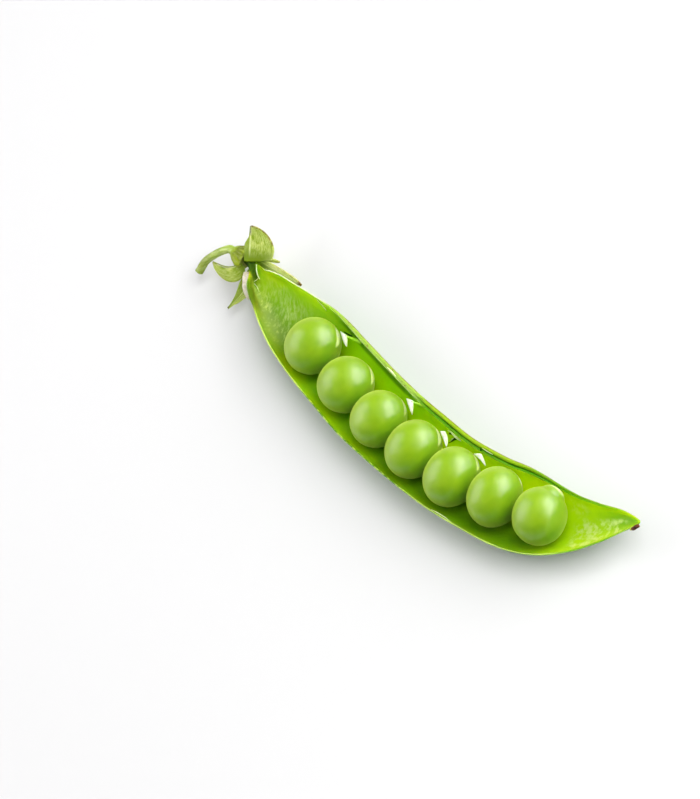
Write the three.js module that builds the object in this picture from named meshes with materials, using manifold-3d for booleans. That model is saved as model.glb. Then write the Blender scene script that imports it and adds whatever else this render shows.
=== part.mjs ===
// A garden pea pod, freshly opened: one valve of the pod lying on its back, open side up, with its row of
// peas on their short stalks, the calyx, a piece of pedicel and the dried style.
// Millimetres, +Z up. The resting surface is z = 0. +X runs from the stem end to the tip, +Y is the ventral
// side, where both halves of the pod's upper seam meet and the peas hang on.
import * as THREE from "three";
import { mergeVertices } from "three/addons/utils/BufferGeometryUtils.js";
import Module from "manifold-3d";

const wasm = await Module();
wasm.setup();

// ---------------------------------------------------------------- driving dimensions

// The pod's spine, from the neck inside the calyx to the tip. The columns are x and y of the middle line,
// the half width between the two seams, the height of the seams, the height of the keel outside, and the
// depth of the hollow below the seams. A negative depth closes the neck over with a rounded top.
const SPINE = [
  [-3.0, 0.55, 0.8, 5.3, 4.5, -0.8],
  [-1.4, 0.2, 0.85, 5.3, 4.4, -0.7],
  [-0.4, -0.15, 1.05, 5.5, 4.2, 0.1],
  [0.5, -0.6, 1.45, 5.9, 3.8, 1.4],
  [2.0, -1.35, 2.4, 6.35, 3.0, 2.8],
  [4.0, -1.9, 3.2, 6.65, 2.3, 3.7],
  [6.0, -2.3, 3.8, 6.75, 1.7, 4.1],
  [9.5, -3.2, 4.85, 6.8, 0.8, 5.0],
  [14.0, -4.2, 5.95, 6.8, 0.1, 5.7],
  [19.5, -5.2, 6.75, 6.8, -0.25, 5.9],
  [27.0, -6.85, 7.0, 6.8, -0.25, 5.9],
  [35.0, -8.5, 7.15, 6.8, -0.25, 5.9],
  [43.0, -9.55, 7.05, 6.8, -0.25, 5.9],
  [50.0, -10.1, 7.05, 6.8, -0.25, 5.9],
  [57.0, -10.25, 7.1, 6.8, -0.25, 5.9],
  [64.0, -9.75, 7.1, 6.8, -0.25, 5.9],
  [70.0, -8.95, 6.9, 6.8, -0.1, 5.8],
  [75.0, -7.85, 6.15, 6.8, 0.5, 5.3],
  [79.5, -6.1, 4.8, 6.8, 1.5, 4.35],
  [83.5, -3.8, 3.3, 6.85, 2.9, 3.0],
  [86.8, -1.55, 1.9, 6.95, 4.3, 1.7],
  [89.2, -0.35, 0.85, 7.05, 5.6, 0.6],
  [90.15, 0.08, 0.3, 7.1, 6.55, 0.1],
];
const WALL_POWER = 2.1; // roundness of the wall's section: 2 is an ellipse, more is boxier
const DORSAL_SEAM = 0.65; // thickness of the wall at the lower, plain seam
const VENTRAL_SEAM = 1.3; // thickness of the upper seam, with its two ridges and the groove between
const SEAM_RUN = { from: 12, full: 30, fade: 62, to: 75, least: 0.62 }; // the upper seam is thinner at both ends
const SEAM_CROWN = 0.16; // how far the seams' rounded edges stand above the seam height
const GROOVE = { depth: 0.5, from: 34, full: 44, fade: 74, to: 86 }; // x where the groove starts and ends
const PEA_SWELL = 0.22; // how far the wall bulges out round each pea
const SWELL_REACH = 3.1; // half length of that bulge along the pod

// The peas: x along the pod, offset towards the ventral seam, their size along and across the pod, and how
// far tipwards the stalk leans.
const PEAS = [
  { x: 19.1, aside: -0.5, long: 9.2, wide: 10.0, lean: 0.6 },
  { x: 29.0, aside: -0.65, long: 9.2, wide: 9.9, lean: 0.46 },
  { x: 38.2, aside: -0.65, long: 8.9, wide: 10.0, lean: 0.5 },
  { x: 47.2, aside: -0.6, long: 8.7, wide: 10.2, lean: 0.54 },
  { x: 56.25, aside: -0.5, long: 8.7, wide: 10.3, lean: 0.42 },
  { x: 65.15, aside: 0.1, long: 8.6, wide: 10.2, lean: 0.42 },
  { x: 74.2, aside: 0.05, long: 8.9, wide: 9.6, lean: 0.18 },
];
const PEA_CLEARANCE = 0.35; // between each pea and the floor of the hollow

// The stalk of each pea (funicle): flat, rooted in the ventral seam, and broadest where it meets the pea. Its
// three sections run from the pea to the root, as a part of the full breadth.
const FUNICLE = { down: 0.08, thick: 0.34, broad: 1.15, gap: 0.3, head: 0.45, sunk: 0.6, waist: 0.55, foot: 0.7, sides: 8 };

// The calyx: a short cup round the pod's neck, with five lobes. The cup is measured back from its mouth.
// Each lobe is a folded blade on a midrib through three points, with a broad and a narrow half. `root` is its
// width at the cup, `belly` is how far along it is widest, and `point` is 0.5 for a round end, more for a sharp one.
const CUP = { mouth: [-2.7, 0.6, 5.5], yaw: 15, pitch: 9, length: 2.0, backRadius: 1.8, mouthRadius: 2.1 };
const BORE = { radius: 1.45, depth: 1.1 };
const BLADE = 0.6; // thickness of the lobes and of the dried strip
const LOBES = [
  { rib: [[-1.37, 0.25, 6.75], [-2.75, 2.75, 7.5], [-3.6, 5.4, 9.0]], side: [0.70, 0.58, -0.42],
    broad: 4.1, narrow: 1.0, root: 0.84, fold: -0.18, belly: 0.33, point: 0.5 },
  { rib: [[-3.2, -0.7, 6.2], [-3.9, -2.4, 6.7], [-7.05, -3.25, 7.2]], side: [0.47, -0.82, -0.33],
    broad: 2.45, narrow: 0.5, root: 0.6, fold: -0.35, belly: 0.4, point: 0.7 },
  { rib: [[-3.0, -0.9, 4.4], [-1.05, -4.1, 3.5], [-2.1, -8.2, 2.7]], side: [0.9, 0.1, -0.3],
    broad: 0.95, narrow: 0.9, root: 0.6, fold: 0.25, belly: 0.45, point: 0.9 },
  { rib: [[-2.85, 2.3, 5.2], [3.7, 2.15, 4.6], [8.9, 2.3, 4.6]], side: [0, 0.5, 0.87],
    broad: 1.6, narrow: 0.6, root: 0.5, fold: 0.15, belly: 0.5, point: 0.7 },
  { rib: [[-2.9, 2.0, 4.2], [0.3, 2.4, 4.05], [2.1, 3.3, 3.6]], side: [0.54, -0.03, 0.84],
    broad: 0.9, narrow: 0.9, root: 0.6, fold: 0.2, belly: 0.4, point: 0.9 },
];

// The pedicel: middle line from the cut end to the receptacle, with its radius at each point.
const PEDICEL = [
  [-11.1, -5.8, 3.3, 0.74],
  [-10.4, -3.65, 4.4, 0.7],
  [-8.9, -1.75, 5.3, 0.67],
  [-7.35, -0.4, 5.9, 0.7],
  [-6.25, -0.15, 6.05, 0.95],
  [-5.55, -0.16, 5.97, 1.5],
  [-4.97, 0.0, 5.88, 1.75],
];

// What is left of the flower: a withered strip of stamens beside the neck, and the style at the tip.
const STAMENS = {
  rib: [[-1.6, -1.35, 5.0], [-0.15, -3.15, 4.7], [1.6, -5.1, 4.3]],
  side: [0.85, 0.5, -0.1], broad: 0.4, narrow: 0.4, root: 0.7, fold: 0, belly: 0.5, point: 0.6,
};
const STYLE = [
  [90.8, -0.46, 7.58, 0.26],
  [90.4, -0.98, 7.48, 0.33],
  [90.07, -1.37, 7.22, 0.29],
  [89.6, -1.74, 6.95, 0.13],
];

// The origin is the middle of the whole object's box, on the resting surface.
const BOX_MIDDLE = { x: 39.64, y: -5.7 };

// Fineness of the facets
const STATIONS = 78;
const STATION_CROWDING = 0.62; // stations stand closer together towards both ends
const WALL_STEPS = 14;
const FLOOR_STEPS = 12;
const PEA_DETAIL = 4;
const BLADE_STEPS = { along: 9, across: 4 };

// ---------------------------------------------------------------- curves

// A smooth curve through rows of numbers, read at a value of the first column.
function throughRows(rows) {
  const slope = (i, k) => {
    const before = rows[Math.max(i - 1, 0)];
    const after = rows[Math.min(i + 1, rows.length - 1)];
    return (after[k] - before[k]) / (after[0] - before[0]);
  };
  return (at) => {
    let i = 0;
    while (i < rows.length - 2 && at > rows[i + 1][0]) i += 1;
    const span = rows[i + 1][0] - rows[i][0];
    const t = THREE.MathUtils.clamp((at - rows[i][0]) / span, 0, 1);
    const values = [];
    for (let k = 1; k < rows[i].length; k += 1) {
      const start = rows[i][k] * (2 * t ** 3 - 3 * t ** 2 + 1) + rows[i + 1][k] * (3 * t ** 2 - 2 * t ** 3);
      const bend = slope(i, k) * (t ** 3 - 2 * t ** 2 + t) + slope(i + 1, k) * (t ** 3 - t ** 2);
      values.push(start + bend * span);
    }
    return values;
  };
}

const spineAt = throughRows(SPINE);
const smooth = (from, to, at) => THREE.MathUtils.smoothstep(at, from, to);

// The frame of the pod at x: the middle line's point, the direction along it and the one to the ventral seam.
function podFrame(x) {
  const step = 0.05;
  const [y, half, seam, keel, hollow] = spineAt(x);
  const rise = (spineAt(x + step)[0] - spineAt(x - step)[0]) / (2 * step);
  const along = new THREE.Vector3(1, rise, 0).normalize();
  const ventral = new THREE.Vector3(-along.y, along.x, 0);
  return { middle: new THREE.Vector3(x, y, 0), along, ventral, half, seam, keel, hollow };
}

// ---------------------------------------------------------------- solids

function solidOf(geometry) {
  const plain = geometry.clone();
  plain.deleteAttribute("normal");
  plain.deleteAttribute("uv");
  const welded = mergeVertices(plain, 1e-4);
  return new wasm.Manifold(new wasm.Mesh({
    numProp: 3,
    vertProperties: new Float32Array(welded.attributes.position.array),
    triVerts: new Uint32Array(welded.index.array),
  }));
}

function geometryOf(solid) {
  const mesh = solid.getMesh();
  const geometry = new THREE.BufferGeometry();
  geometry.setAttribute("position", new THREE.BufferAttribute(mesh.vertProperties, mesh.numProp));
  geometry.setIndex(new THREE.BufferAttribute(mesh.triVerts, 1));
  geometry.computeVertexNormals();
  return geometry;
}

// Joins closed rings of points into one body, with a fan over each end.
function loft(rings) {
  const count = rings[0].length;
  const points = rings.flat();
  const faces = [];
  for (let i = 0; i < rings.length - 1; i += 1) {
    for (let j = 0; j < count; j += 1) {
      const a = i * count + j;
      const b = i * count + (j + 1) % count;
      faces.push(a, b, b + count, a, b + count, a + count);
    }
  }
  const ends = [[0, 1], [rings.length - 1, -1]];
  for (const [ring, turn] of ends) {
    const centre = new THREE.Vector3();
    rings[ring].forEach((point) => centre.addScaledVector(point, 1 / count));
    const hub = points.push(centre) - 1;
    for (let j = 0; j < count; j += 1) {
      const a = ring * count + j;
      const b = ring * count + (j + 1) % count;
      faces.push(...(turn > 0 ? [hub, b, a] : [hub, a, b]));
    }
  }
  const geometry = new THREE.BufferGeometry().setFromPoints(points);
  geometry.setIndex(faces);
  geometry.computeVertexNormals();
  return geometry;
}

// A round stem through rows of x, y, z and radius.
function stem(rows, sides, steps) {
  const line = new THREE.CatmullRomCurve3(rows.map(([x, y, z]) => new THREE.Vector3(x, y, z)), false, "centripetal");
  const radii = throughRows(rows.map((row, i) => [i, row[3]]));
  const rings = [];
  for (let i = 0; i <= steps; i += 1) {
    const t = i / steps;
    const centre = line.getPoint(t);
    const along = line.getTangent(t);
    const out = new THREE.Vector3(0, 0, 1).cross(along).normalize();
    const up = along.clone().cross(out);
    const [radius] = radii(t * (rows.length - 1));
    const ring = [];
    for (let j = 0; j < sides; j += 1) {
      const turn = (2 * Math.PI * j) / sides;
      ring.push(centre.clone().addScaledVector(out, radius * Math.cos(turn)).addScaledVector(up, radius * Math.sin(turn)));
    }
    rings.push(ring);
  }
  return loft(rings);
}

// A thin leaf-like blade: a grid on each face of the folded sheet, closed round the edge.
function blade({ rib, side, broad, narrow, root, fold, belly, point }) {
  const [start, middle, tip] = rib.map((p) => new THREE.Vector3(...p));
  const bend = middle.clone().multiplyScalar(2).addScaledVector(start, -0.5).addScaledVector(tip, -0.5);
  const midrib = new THREE.QuadraticBezierCurve3(start, bend, tip);
  const { along: rows, across: columns } = BLADE_STEPS;
  const outline = (t) => {
    if (t < belly) return root + (1 - root) * Math.sin((0.5 * Math.PI * t) / belly);
    return Math.max(1 - ((t - belly) / (1 - belly)) ** 2, 0) ** point + 0.04;
  };
  const faces = { top: [], bottom: [] };
  for (let i = 0; i <= rows; i += 1) {
    const t = i / rows;
    const along = midrib.getTangent(t);
    const across = new THREE.Vector3(...side).addScaledVector(along, -along.dot(new THREE.Vector3(...side))).normalize();
    const normal = along.clone().cross(across);
    for (let j = 0; j <= columns; j += 1) {
      const v = (2 * j) / columns - 1;
      const reach = Math.abs(v) * outline(t) * (v > 0 ? broad : narrow);
      const spot = midrib.getPoint(t)
        .addScaledVector(across, Math.sign(v) * reach)
        .addScaledVector(normal, fold * reach * Math.abs(v));
      faces.top.push(spot.clone().addScaledVector(normal, BLADE / 2));
      faces.bottom.push(spot.clone().addScaledVector(normal, -BLADE / 2));
    }
  }
  const width = columns + 1;
  const points = [...faces.top, ...faces.bottom];
  const under = faces.top.length;
  const index = [];
  const quad = (a, b, c, d) => index.push(a, b, c, a, c, d);
  for (let i = 0; i < rows; i += 1) {
    for (let j = 0; j < columns; j += 1) {
      const a = i * width + j;
      index.push(a, a + width, a + width + 1, a, a + width + 1, a + 1);
      index.push(under + a, under + a + width + 1, under + a + width, under + a, under + a + 1, under + a + width + 1);
    }
    const left = i * width;
    const right = left + columns;
    quad(left, left + under, left + width + under, left + width);
    quad(right, right + width, right + width + under, right + under);
  }
  for (let j = 0; j < columns; j += 1) {
    const last = rows * width + j;
    quad(j, j + 1, j + 1 + under, j + under);
    quad(last, last + under, last + 1 + under, last + 1);
  }
  const geometry = new THREE.BufferGeometry().setFromPoints(points);
  geometry.setIndex(index);
  geometry.computeVertexNormals();
  return geometry;
}

// ---------------------------------------------------------------- the pod

// The rounded bulge of the wall where a pea lies behind it, from 0 to 1.
const peaSwell = (x) => PEAS.reduce((sum, pea) => sum + Math.exp(-(((x - pea.x) / SWELL_REACH) ** 2)), 0);

// One cross-section of the valve as a closed ring: down the wall outside, back up inside, over both seams.
function podSection(x) {
  const { middle, ventral, half, seam, keel, hollow } = podFrame(x);
  const open = smooth(0.3, 3, hollow);
  const swell = PEA_SWELL * peaSwell(x);
  const dorsal = Math.min(DORSAL_SEAM, 0.3 * half) * open;
  const body = smooth(SEAM_RUN.from, SEAM_RUN.full, x) * (1 - smooth(SEAM_RUN.fade, SEAM_RUN.to, x));
  const thick = VENTRAL_SEAM * (SEAM_RUN.least + (1 - SEAM_RUN.least) * body);
  const upper = Math.min(thick, 0.35 * half) * open;
  const groove = GROOVE.depth * smooth(GROOVE.from, GROOVE.full, x) * (1 - smooth(GROOVE.fade, GROOVE.to, x));
  const crown = SEAM_CROWN * open;
  const ring = [];
  const add = (across, z) => ring.push(middle.clone().addScaledVector(ventral, across).setZ(Math.max(z, 0)));
  const arc = (value) => Math.sign(value) * Math.abs(value) ** (2 / WALL_POWER);
  for (let i = 0; i <= WALL_STEPS; i += 1) {
    const turn = (Math.PI * i) / WALL_STEPS;
    const deep = arc(Math.sin(turn));
    add(half * arc(Math.cos(turn)) * (1 + (swell * deep) / half), seam - (seam - keel + swell) * deep);
  }
  add(-half + 0.4 * dorsal, seam + crown);
  for (let i = 0; i <= FLOOR_STEPS; i += 1) {
    const turn = Math.PI * (1 - i / FLOOR_STEPS);
    const deep = arc(Math.sin(turn));
    const lip = turn > Math.PI / 2 ? dorsal : upper;
    const drop = (turn > Math.PI / 2 ? 0.1 : 0.3) * open;
    const reach = half - Math.max(lip, 0.04);
    add(reach * arc(Math.cos(turn)) * (1 + (swell * deep) / half), seam - drop - (hollow - drop + swell * open) * deep);
  }
  add(half - 0.86 * upper, seam - 0.02 * open);
  add(half - 0.52 * upper, seam - (0.06 + groove) * open);
  add(half - 0.16 * upper, seam + crown);
  return ring.reverse();
}

function stationAt(t) {
  const first = SPINE[0][0];
  const last = SPINE[SPINE.length - 1][0];
  return first + (last - first) * (t - (STATION_CROWDING * Math.sin(2 * Math.PI * t)) / (2 * Math.PI));
}

function peaCentre(pea) {
  const { middle, ventral, seam, hollow } = podFrame(pea.x);
  const swell = PEA_SWELL * peaSwell(pea.x);
  const height = Math.max(seam - hollow - swell, 0) + PEA_CLEARANCE + pea.wide / 2;
  return middle.clone().addScaledVector(ventral, pea.aside).setZ(height);
}

// A short flat stalk from inside the ventral seam to just short of the pea's skin.
function funicle(pea) {
  const { along, ventral, half } = podFrame(pea.x);
  const centre = peaCentre(pea);
  const aim = along.clone().multiplyScalar(pea.lean).add(ventral).setZ(-FUNICLE.down).normalize();
  const skin = 1 / Math.hypot(aim.dot(along) / (pea.long / 2), aim.dot(ventral) / (pea.wide / 2), aim.z / (pea.wide / 2));
  const root = (half - pea.aside - VENTRAL_SEAM + FUNICLE.sunk) / aim.dot(ventral);
  const flat = new THREE.Vector3(0, 0, 1).cross(aim).normalize();
  const up = aim.clone().cross(flat);
  const near = skin + FUNICLE.gap;
  const sections = [[near, 1], [near + FUNICLE.head, FUNICLE.waist], [root, FUNICLE.foot]];
  return loft(sections.map(([reach, scale]) => {
    const ring = [];
    for (let j = 0; j < FUNICLE.sides; j += 1) {
      const turn = (2 * Math.PI * j) / FUNICLE.sides;
      ring.push(centre.clone().addScaledVector(aim, reach)
        .addScaledVector(flat, FUNICLE.broad * scale * Math.cos(turn))
        .addScaledVector(up, FUNICLE.thick * (2 - scale) * Math.sin(turn)));
    }
    return ring;
  }));
}

function podShell() {
  const rings = [];
  for (let i = 0; i <= STATIONS; i += 1) rings.push(podSection(stationAt(i / STATIONS)));
  return PEAS.reduce((solid, pea) => solid.add(solidOf(funicle(pea))), solidOf(loft(rings)));
}

// The calyx cup is turned about its own axis, with a bore that the neck stands in.
function calyx() {
  const { mouth, yaw, pitch, length, backRadius, mouthRadius } = CUP;
  const profile = [
    [0, -length], [0.8 * backRadius, -length], [backRadius, 0.25 - length], [0.97 * mouthRadius, -0.5 * length],
    [mouthRadius, -0.1], [BORE.radius + 0.1, 0], [BORE.radius, -0.2], [BORE.radius, -BORE.depth], [0, -BORE.depth],
  ];
  const cup = new THREE.LatheGeometry(profile.map(([radius, height]) => new THREE.Vector2(radius, height)), 24);
  cup.rotateZ(-Math.PI / 2);
  cup.rotateY(THREE.MathUtils.degToRad(pitch));
  cup.rotateZ(THREE.MathUtils.degToRad(yaw));
  cup.translate(...mouth);
  return LOBES.reduce((solid, lobe) => solid.add(solidOf(blade(lobe))), solidOf(cup));
}

// ---------------------------------------------------------------- materials and assembly

const MATERIALS = {
  pod: { color: 0x6fae12, roughness: 0.45, metalness: 0 },
  pea: { color: 0x8fc93a, roughness: 0.35, metalness: 0 },
  calyx: { color: 0xa9bd63, roughness: 0.6, metalness: 0 },
  pedicel: { color: 0x9db556, roughness: 0.55, metalness: 0 },
  dried: { color: 0xc9b99a, roughness: 0.8, metalness: 0 },
  style: { color: 0x3a1d0e, roughness: 0.8, metalness: 0 },
};

const pod = new THREE.Group();
pod.position.set(-BOX_MIDDLE.x, -BOX_MIDDLE.y, 0);

function addPart(name, geometry, material) {
  const mesh = new THREE.Mesh(geometry, new THREE.MeshStandardMaterial(MATERIALS[material]));
  mesh.name = name;
  pod.add(mesh);
  return mesh;
}

addPart("pod_shell", geometryOf(podShell()), "pod");
PEAS.forEach((pea, i) => {
  const body = new THREE.IcosahedronGeometry(1, PEA_DETAIL);
  body.scale(pea.long / 2, pea.wide / 2, pea.wide / 2);
  const mesh = addPart(`pea_${i + 1}`, body, "pea");
  const { along } = podFrame(pea.x);
  mesh.position.copy(peaCentre(pea));
  mesh.rotation.z = Math.atan2(along.y, along.x);
});
addPart("calyx", geometryOf(calyx()), "calyx");
addPart("pedicel", stem(PEDICEL, 12, 24), "pedicel");
addPart("dried_stamens", blade(STAMENS), "dried");
addPart("style_remnant", stem(STYLE, 8, 8), "style");

export default pod;
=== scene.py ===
# %% [markdown]
# # An opened pea pod
# A pea pod is one folded leaf. Opened along its seams it gives two halves, called valves, and the peas stay
# on one of them by short stalks. This lesson dresses such a valve: the pod wall, seven peas, their stalks,
# the calyx (what is left of the flower's green cup), a piece of stem and the dried style at the tip.
# The packed model is loaded first. It is the frame: every piece made here takes the place of one of its
# nodes, and only has to look better than that node.

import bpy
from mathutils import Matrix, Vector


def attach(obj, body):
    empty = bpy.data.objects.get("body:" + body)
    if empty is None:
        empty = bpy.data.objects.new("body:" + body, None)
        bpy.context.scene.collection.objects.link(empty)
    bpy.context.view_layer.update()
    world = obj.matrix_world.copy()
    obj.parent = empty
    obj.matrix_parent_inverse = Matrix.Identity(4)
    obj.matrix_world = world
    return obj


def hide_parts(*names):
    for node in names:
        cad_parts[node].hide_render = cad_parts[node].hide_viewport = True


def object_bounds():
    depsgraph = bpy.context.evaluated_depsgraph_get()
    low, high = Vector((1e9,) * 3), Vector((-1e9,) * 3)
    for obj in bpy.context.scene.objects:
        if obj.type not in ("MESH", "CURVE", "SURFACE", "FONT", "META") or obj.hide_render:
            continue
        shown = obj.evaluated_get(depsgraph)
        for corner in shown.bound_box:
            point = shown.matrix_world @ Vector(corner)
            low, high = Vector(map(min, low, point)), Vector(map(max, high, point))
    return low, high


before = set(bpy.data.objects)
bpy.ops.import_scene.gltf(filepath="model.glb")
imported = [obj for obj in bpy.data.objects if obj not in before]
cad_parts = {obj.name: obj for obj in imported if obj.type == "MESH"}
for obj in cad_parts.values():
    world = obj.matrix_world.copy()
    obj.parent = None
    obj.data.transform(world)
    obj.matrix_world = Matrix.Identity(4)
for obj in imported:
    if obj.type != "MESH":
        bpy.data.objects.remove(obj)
CAD_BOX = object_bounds()
print("nodes:", sorted(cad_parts))

# %% Tools and units
import math
from collections import namedtuple
from functools import lru_cache
from types import SimpleNamespace

import bmesh
import bpy
from mathutils import Matrix, Vector, noise

MM = 0.001  # the scene is in metres, and the sizes below are in millimetres
ORIGIN = Vector((39.64, -5.70, 0.0))  # the frame's origin in the pod's own coordinates, in millimetres
print("one millimetre is", MM, "m")

# %% [markdown]
# ## The pod's curved line
# A pod is too irregular for one formula and too smooth for a hand-made mesh. A good middle way is a table of
# a few stations along it, with a smooth curve through each column. The stations are the same as in the solid
# model, so the finer wall lies on the solid one.

# %% Stations along the pod
SPINE = [  # x and y of the middle line, half the width, height of the seams and of the keel, hollow's depth
    (-3.0, 0.55, 0.8, 5.3, 4.5, -0.8),
    (-1.4, 0.2, 0.85, 5.3, 4.4, -0.7),
    (-0.4, -0.15, 1.05, 5.5, 4.2, 0.1),
    (0.5, -0.6, 1.45, 5.9, 3.8, 1.4),
    (2.0, -1.35, 2.4, 6.35, 3.0, 2.8),
    (4.0, -1.9, 3.2, 6.65, 2.3, 3.7),
    (6.0, -2.3, 3.8, 6.75, 1.7, 4.1),
    (9.5, -3.2, 4.85, 6.8, 0.8, 5.0),
    (14.0, -4.2, 5.95, 6.8, 0.1, 5.7),
    (19.5, -5.2, 6.75, 6.8, -0.25, 5.9),
    (27.0, -6.85, 7.0, 6.8, -0.25, 5.9),
    (35.0, -8.5, 7.15, 6.8, -0.25, 5.9),
    (43.0, -9.55, 7.05, 6.8, -0.25, 5.9),
    (50.0, -10.1, 7.05, 6.8, -0.25, 5.9),
    (57.0, -10.25, 7.1, 6.8, -0.25, 5.9),
    (64.0, -9.75, 7.1, 6.8, -0.25, 5.9),
    (70.0, -8.95, 6.9, 6.8, -0.1, 5.8),
    (75.0, -7.85, 6.15, 6.8, 0.5, 5.3),
    (79.5, -6.1, 4.8, 6.8, 1.5, 4.35),
    (83.5, -3.8, 3.3, 6.85, 2.9, 3.0),
    (86.8, -1.55, 1.9, 6.95, 4.3, 1.7),
    (89.2, -0.35, 0.85, 7.05, 5.6, 0.6),
    (90.15, 0.08, 0.3, 7.1, 6.55, 0.1),
]
print(len(SPINE), "stations from the neck to the tip")


# %% Smooth curves through rows of numbers
def through_rows(rows):
    """A smooth curve through rows of numbers, read at a value of the first column."""

    def slope(i, k):
        before, after = rows[max(i - 1, 0)], rows[min(i + 1, len(rows) - 1)]
        return (after[k] - before[k]) / (after[0] - before[0])

    def read(at):
        i = 0
        while i < len(rows) - 2 and at > rows[i + 1][0]:
            i += 1
        low, high = rows[i], rows[i + 1]
        span = high[0] - low[0]
        t = min(max((at - low[0]) / span, 0), 1)
        rise, fall = 3 * t**2 - 2 * t**3, 2 * t**3 - 3 * t**2 + 1
        leave, arrive = t**3 - 2 * t**2 + t, t**3 - t**2
        return [
            low[k] * fall + high[k] * rise + span * (slope(i, k) * leave + slope(i + 1, k) * arrive)
            for k in range(1, len(low))
        ]

    return read


def smooth(low, high, at):
    """0 below low, 1 above high, and an S-shaped rise between them."""
    t = min(max((at - low) / (high - low), 0), 1)
    return t * t * (3 - 2 * t)


def window(ends, at):
    """0 before the first of four ends and after the last, 1 between the middle two, smooth between these."""
    return smooth(*ends[:2], at) * (1 - smooth(*ends[2:], at))


spine_at = lru_cache(maxsize=None)(through_rows(SPINE))
print("half width at the third pea: %.2f mm" % spine_at(38.2)[1])

# %% The pod's own directions
SLOPE_STEP = 0.05
Station = namedtuple("Station", "middle along ventral half seam keel hollow")


@lru_cache(maxsize=None)
def pod_at(x):
    """A point on the pod's middle line, the directions along the pod and to its upper seam, and its sizes."""
    y, half, seam, keel, hollow = spine_at(x)
    rise = (spine_at(x + SLOPE_STEP)[0] - spine_at(x - SLOPE_STEP)[0]) / (2 * SLOPE_STEP)
    along = Vector((1, rise, 0)).normalized()
    ventral = Vector((-along.y, along.x, 0))
    return Station(Vector((x, y, 0)), along, ventral, half, seam, keel, hollow)


print("the pod points", tuple(round(c, 2) for c in pod_at(47.2).along), "at the fourth pea")

# %% [markdown]
# ## The peas' places
# Each pea lies on the floor of the hollow, a little off the middle line, and is a little shorter along the
# pod than across it, because its neighbours press on it. The wall bulges out round each pea.

# %% Pea sizes and places
Pea = namedtuple("Pea", "x aside long wide lean lift rise scar", defaults=(0.02, 0.08))
PEAS = [  # x along the pod, offset to the upper seam, size along and across, and where the stalk sat
    Pea(19.1, -0.5, 9.2, 10.0, 0.68, 0.12),
    Pea(29.0, -0.65, 9.2, 9.9, 0.52, 0.02),
    Pea(38.2, -0.65, 8.9, 10.0, 0.5, 0.0),
    Pea(47.2, -0.6, 8.7, 10.2, 0.62, 0.06),
    Pea(56.25, -0.5, 8.7, 10.3, 0.62, 0.05),
    Pea(65.15, 0.1, 8.6, 10.2, 0.44, -0.1),
    Pea(74.2, 0.05, 8.9, 9.6, 0.25, 0.05, rise=0.13, scar=0.26),  # this one keeps the stub of its stalk
]
PEA_SWELL = 0.22  # how far the wall bulges out round each pea
SWELL_REACH = 3.1  # half length of that bulge along the pod
PEA_CLEARANCE = 0.35  # between each pea and the floor of the hollow


def wall_swell(x):
    return PEA_SWELL * sum(math.exp(-(((x - pea.x) / SWELL_REACH) ** 2)) for pea in PEAS)


def pea_centre(pea):
    pod = pod_at(pea.x)
    centre = pod.middle + pod.ventral * pea.aside
    floor_height = pod.seam - pod.hollow - wall_swell(pea.x)
    centre.z = floor_height + PEA_CLEARANCE + pea.wide / 2
    return centre


print("pea centres:", [tuple(round(c, 1) for c in pea_centre(pea) - ORIGIN) for pea in PEAS])

# %% [markdown]
# ## One way to make every grown surface
# Walls, lobes, stems and flaps are all sheets or tubes that follow a line. Each could be a curve with a
# bevel, but then its cross-section can't change shape. Here each starts as a flat grid from bmesh, and a
# short function says where the point (u, v) of the grid goes. A sheet that is rolled up has its two edges
# merged, and an end that shrinks to a point is merged too, so that a tube comes out closed.

# %% Finish a mesh
MERGE_DISTANCE = 0.002  # points closer than this, in millimetres, become one


def finish_mesh(name, bm):
    """A smooth-shaded object at the origin from a bmesh in metres."""
    for face in bm.faces:
        face.smooth = True
    mesh = bpy.data.meshes.new(name)
    bm.to_mesh(mesh)
    bm.free()
    piece = bpy.data.objects.new(name, mesh)
    bpy.context.scene.collection.objects.link(piece)
    print(f"{name}: {len(mesh.polygons)} faces")
    return piece


print("points closer than", MERGE_DISTANCE, "mm are merged")


# %% Grow a surface from a grid
def grow(name, along, around, place, uv=lambda u, v: (u, v), marks=None):
    """A mesh object from a grid of along x around faces, with each point put where place(u, v) says, in mm.
    Each mark, a name and a function of (u, v), is kept at the points for the materials to read."""
    bm = bmesh.new()
    layer = bm.loops.layers.uv.new("grown")
    layers = [(bm.verts.layers.float.new(key), value) for key, value in (marks or {}).items()]
    bmesh.ops.create_grid(bm, x_segments=along, y_segments=around, size=0.5)
    spot = {v: (round(v.co.x + 0.5, 6), round(v.co.y + 0.5, 6)) for v in bm.verts}
    for face in bm.faces:
        for loop in face.loops:
            loop[layer].uv = uv(*spot[loop.vert])
    for vert, (u, v) in spot.items():
        vert.co = (place(u, v) - ORIGIN) * MM
        for mark, value in layers:
            vert[mark] = value(u, v)
    bmesh.ops.remove_doubles(bm, verts=bm.verts, dist=MERGE_DISTANCE * MM)
    bmesh.ops.recalc_face_normals(bm, faces=bm.faces)
    return finish_mesh(name, bm)


print("surfaces are grown from grids")


# %% Thickness, and what a piece stands for in the frame
def make_solid(piece, thickness):
    """Gives a sheet its thickness, in millimetres, half on each side."""
    sheet = piece.modifiers.new("sheet", "SOLIDIFY")
    sheet.thickness = thickness * MM
    sheet.offset = 0
    return piece


def wear(pieces, material, node):
    """Gives finished pieces their material, and says which node of the frame they take the place of."""
    for piece in pieces:
        piece.data.materials.append(material)
        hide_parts(node)
        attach(piece, "root")
    print(material.name, "is on", len(pieces), "of the pieces that replace", node)


print("every piece rides on the root")

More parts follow.
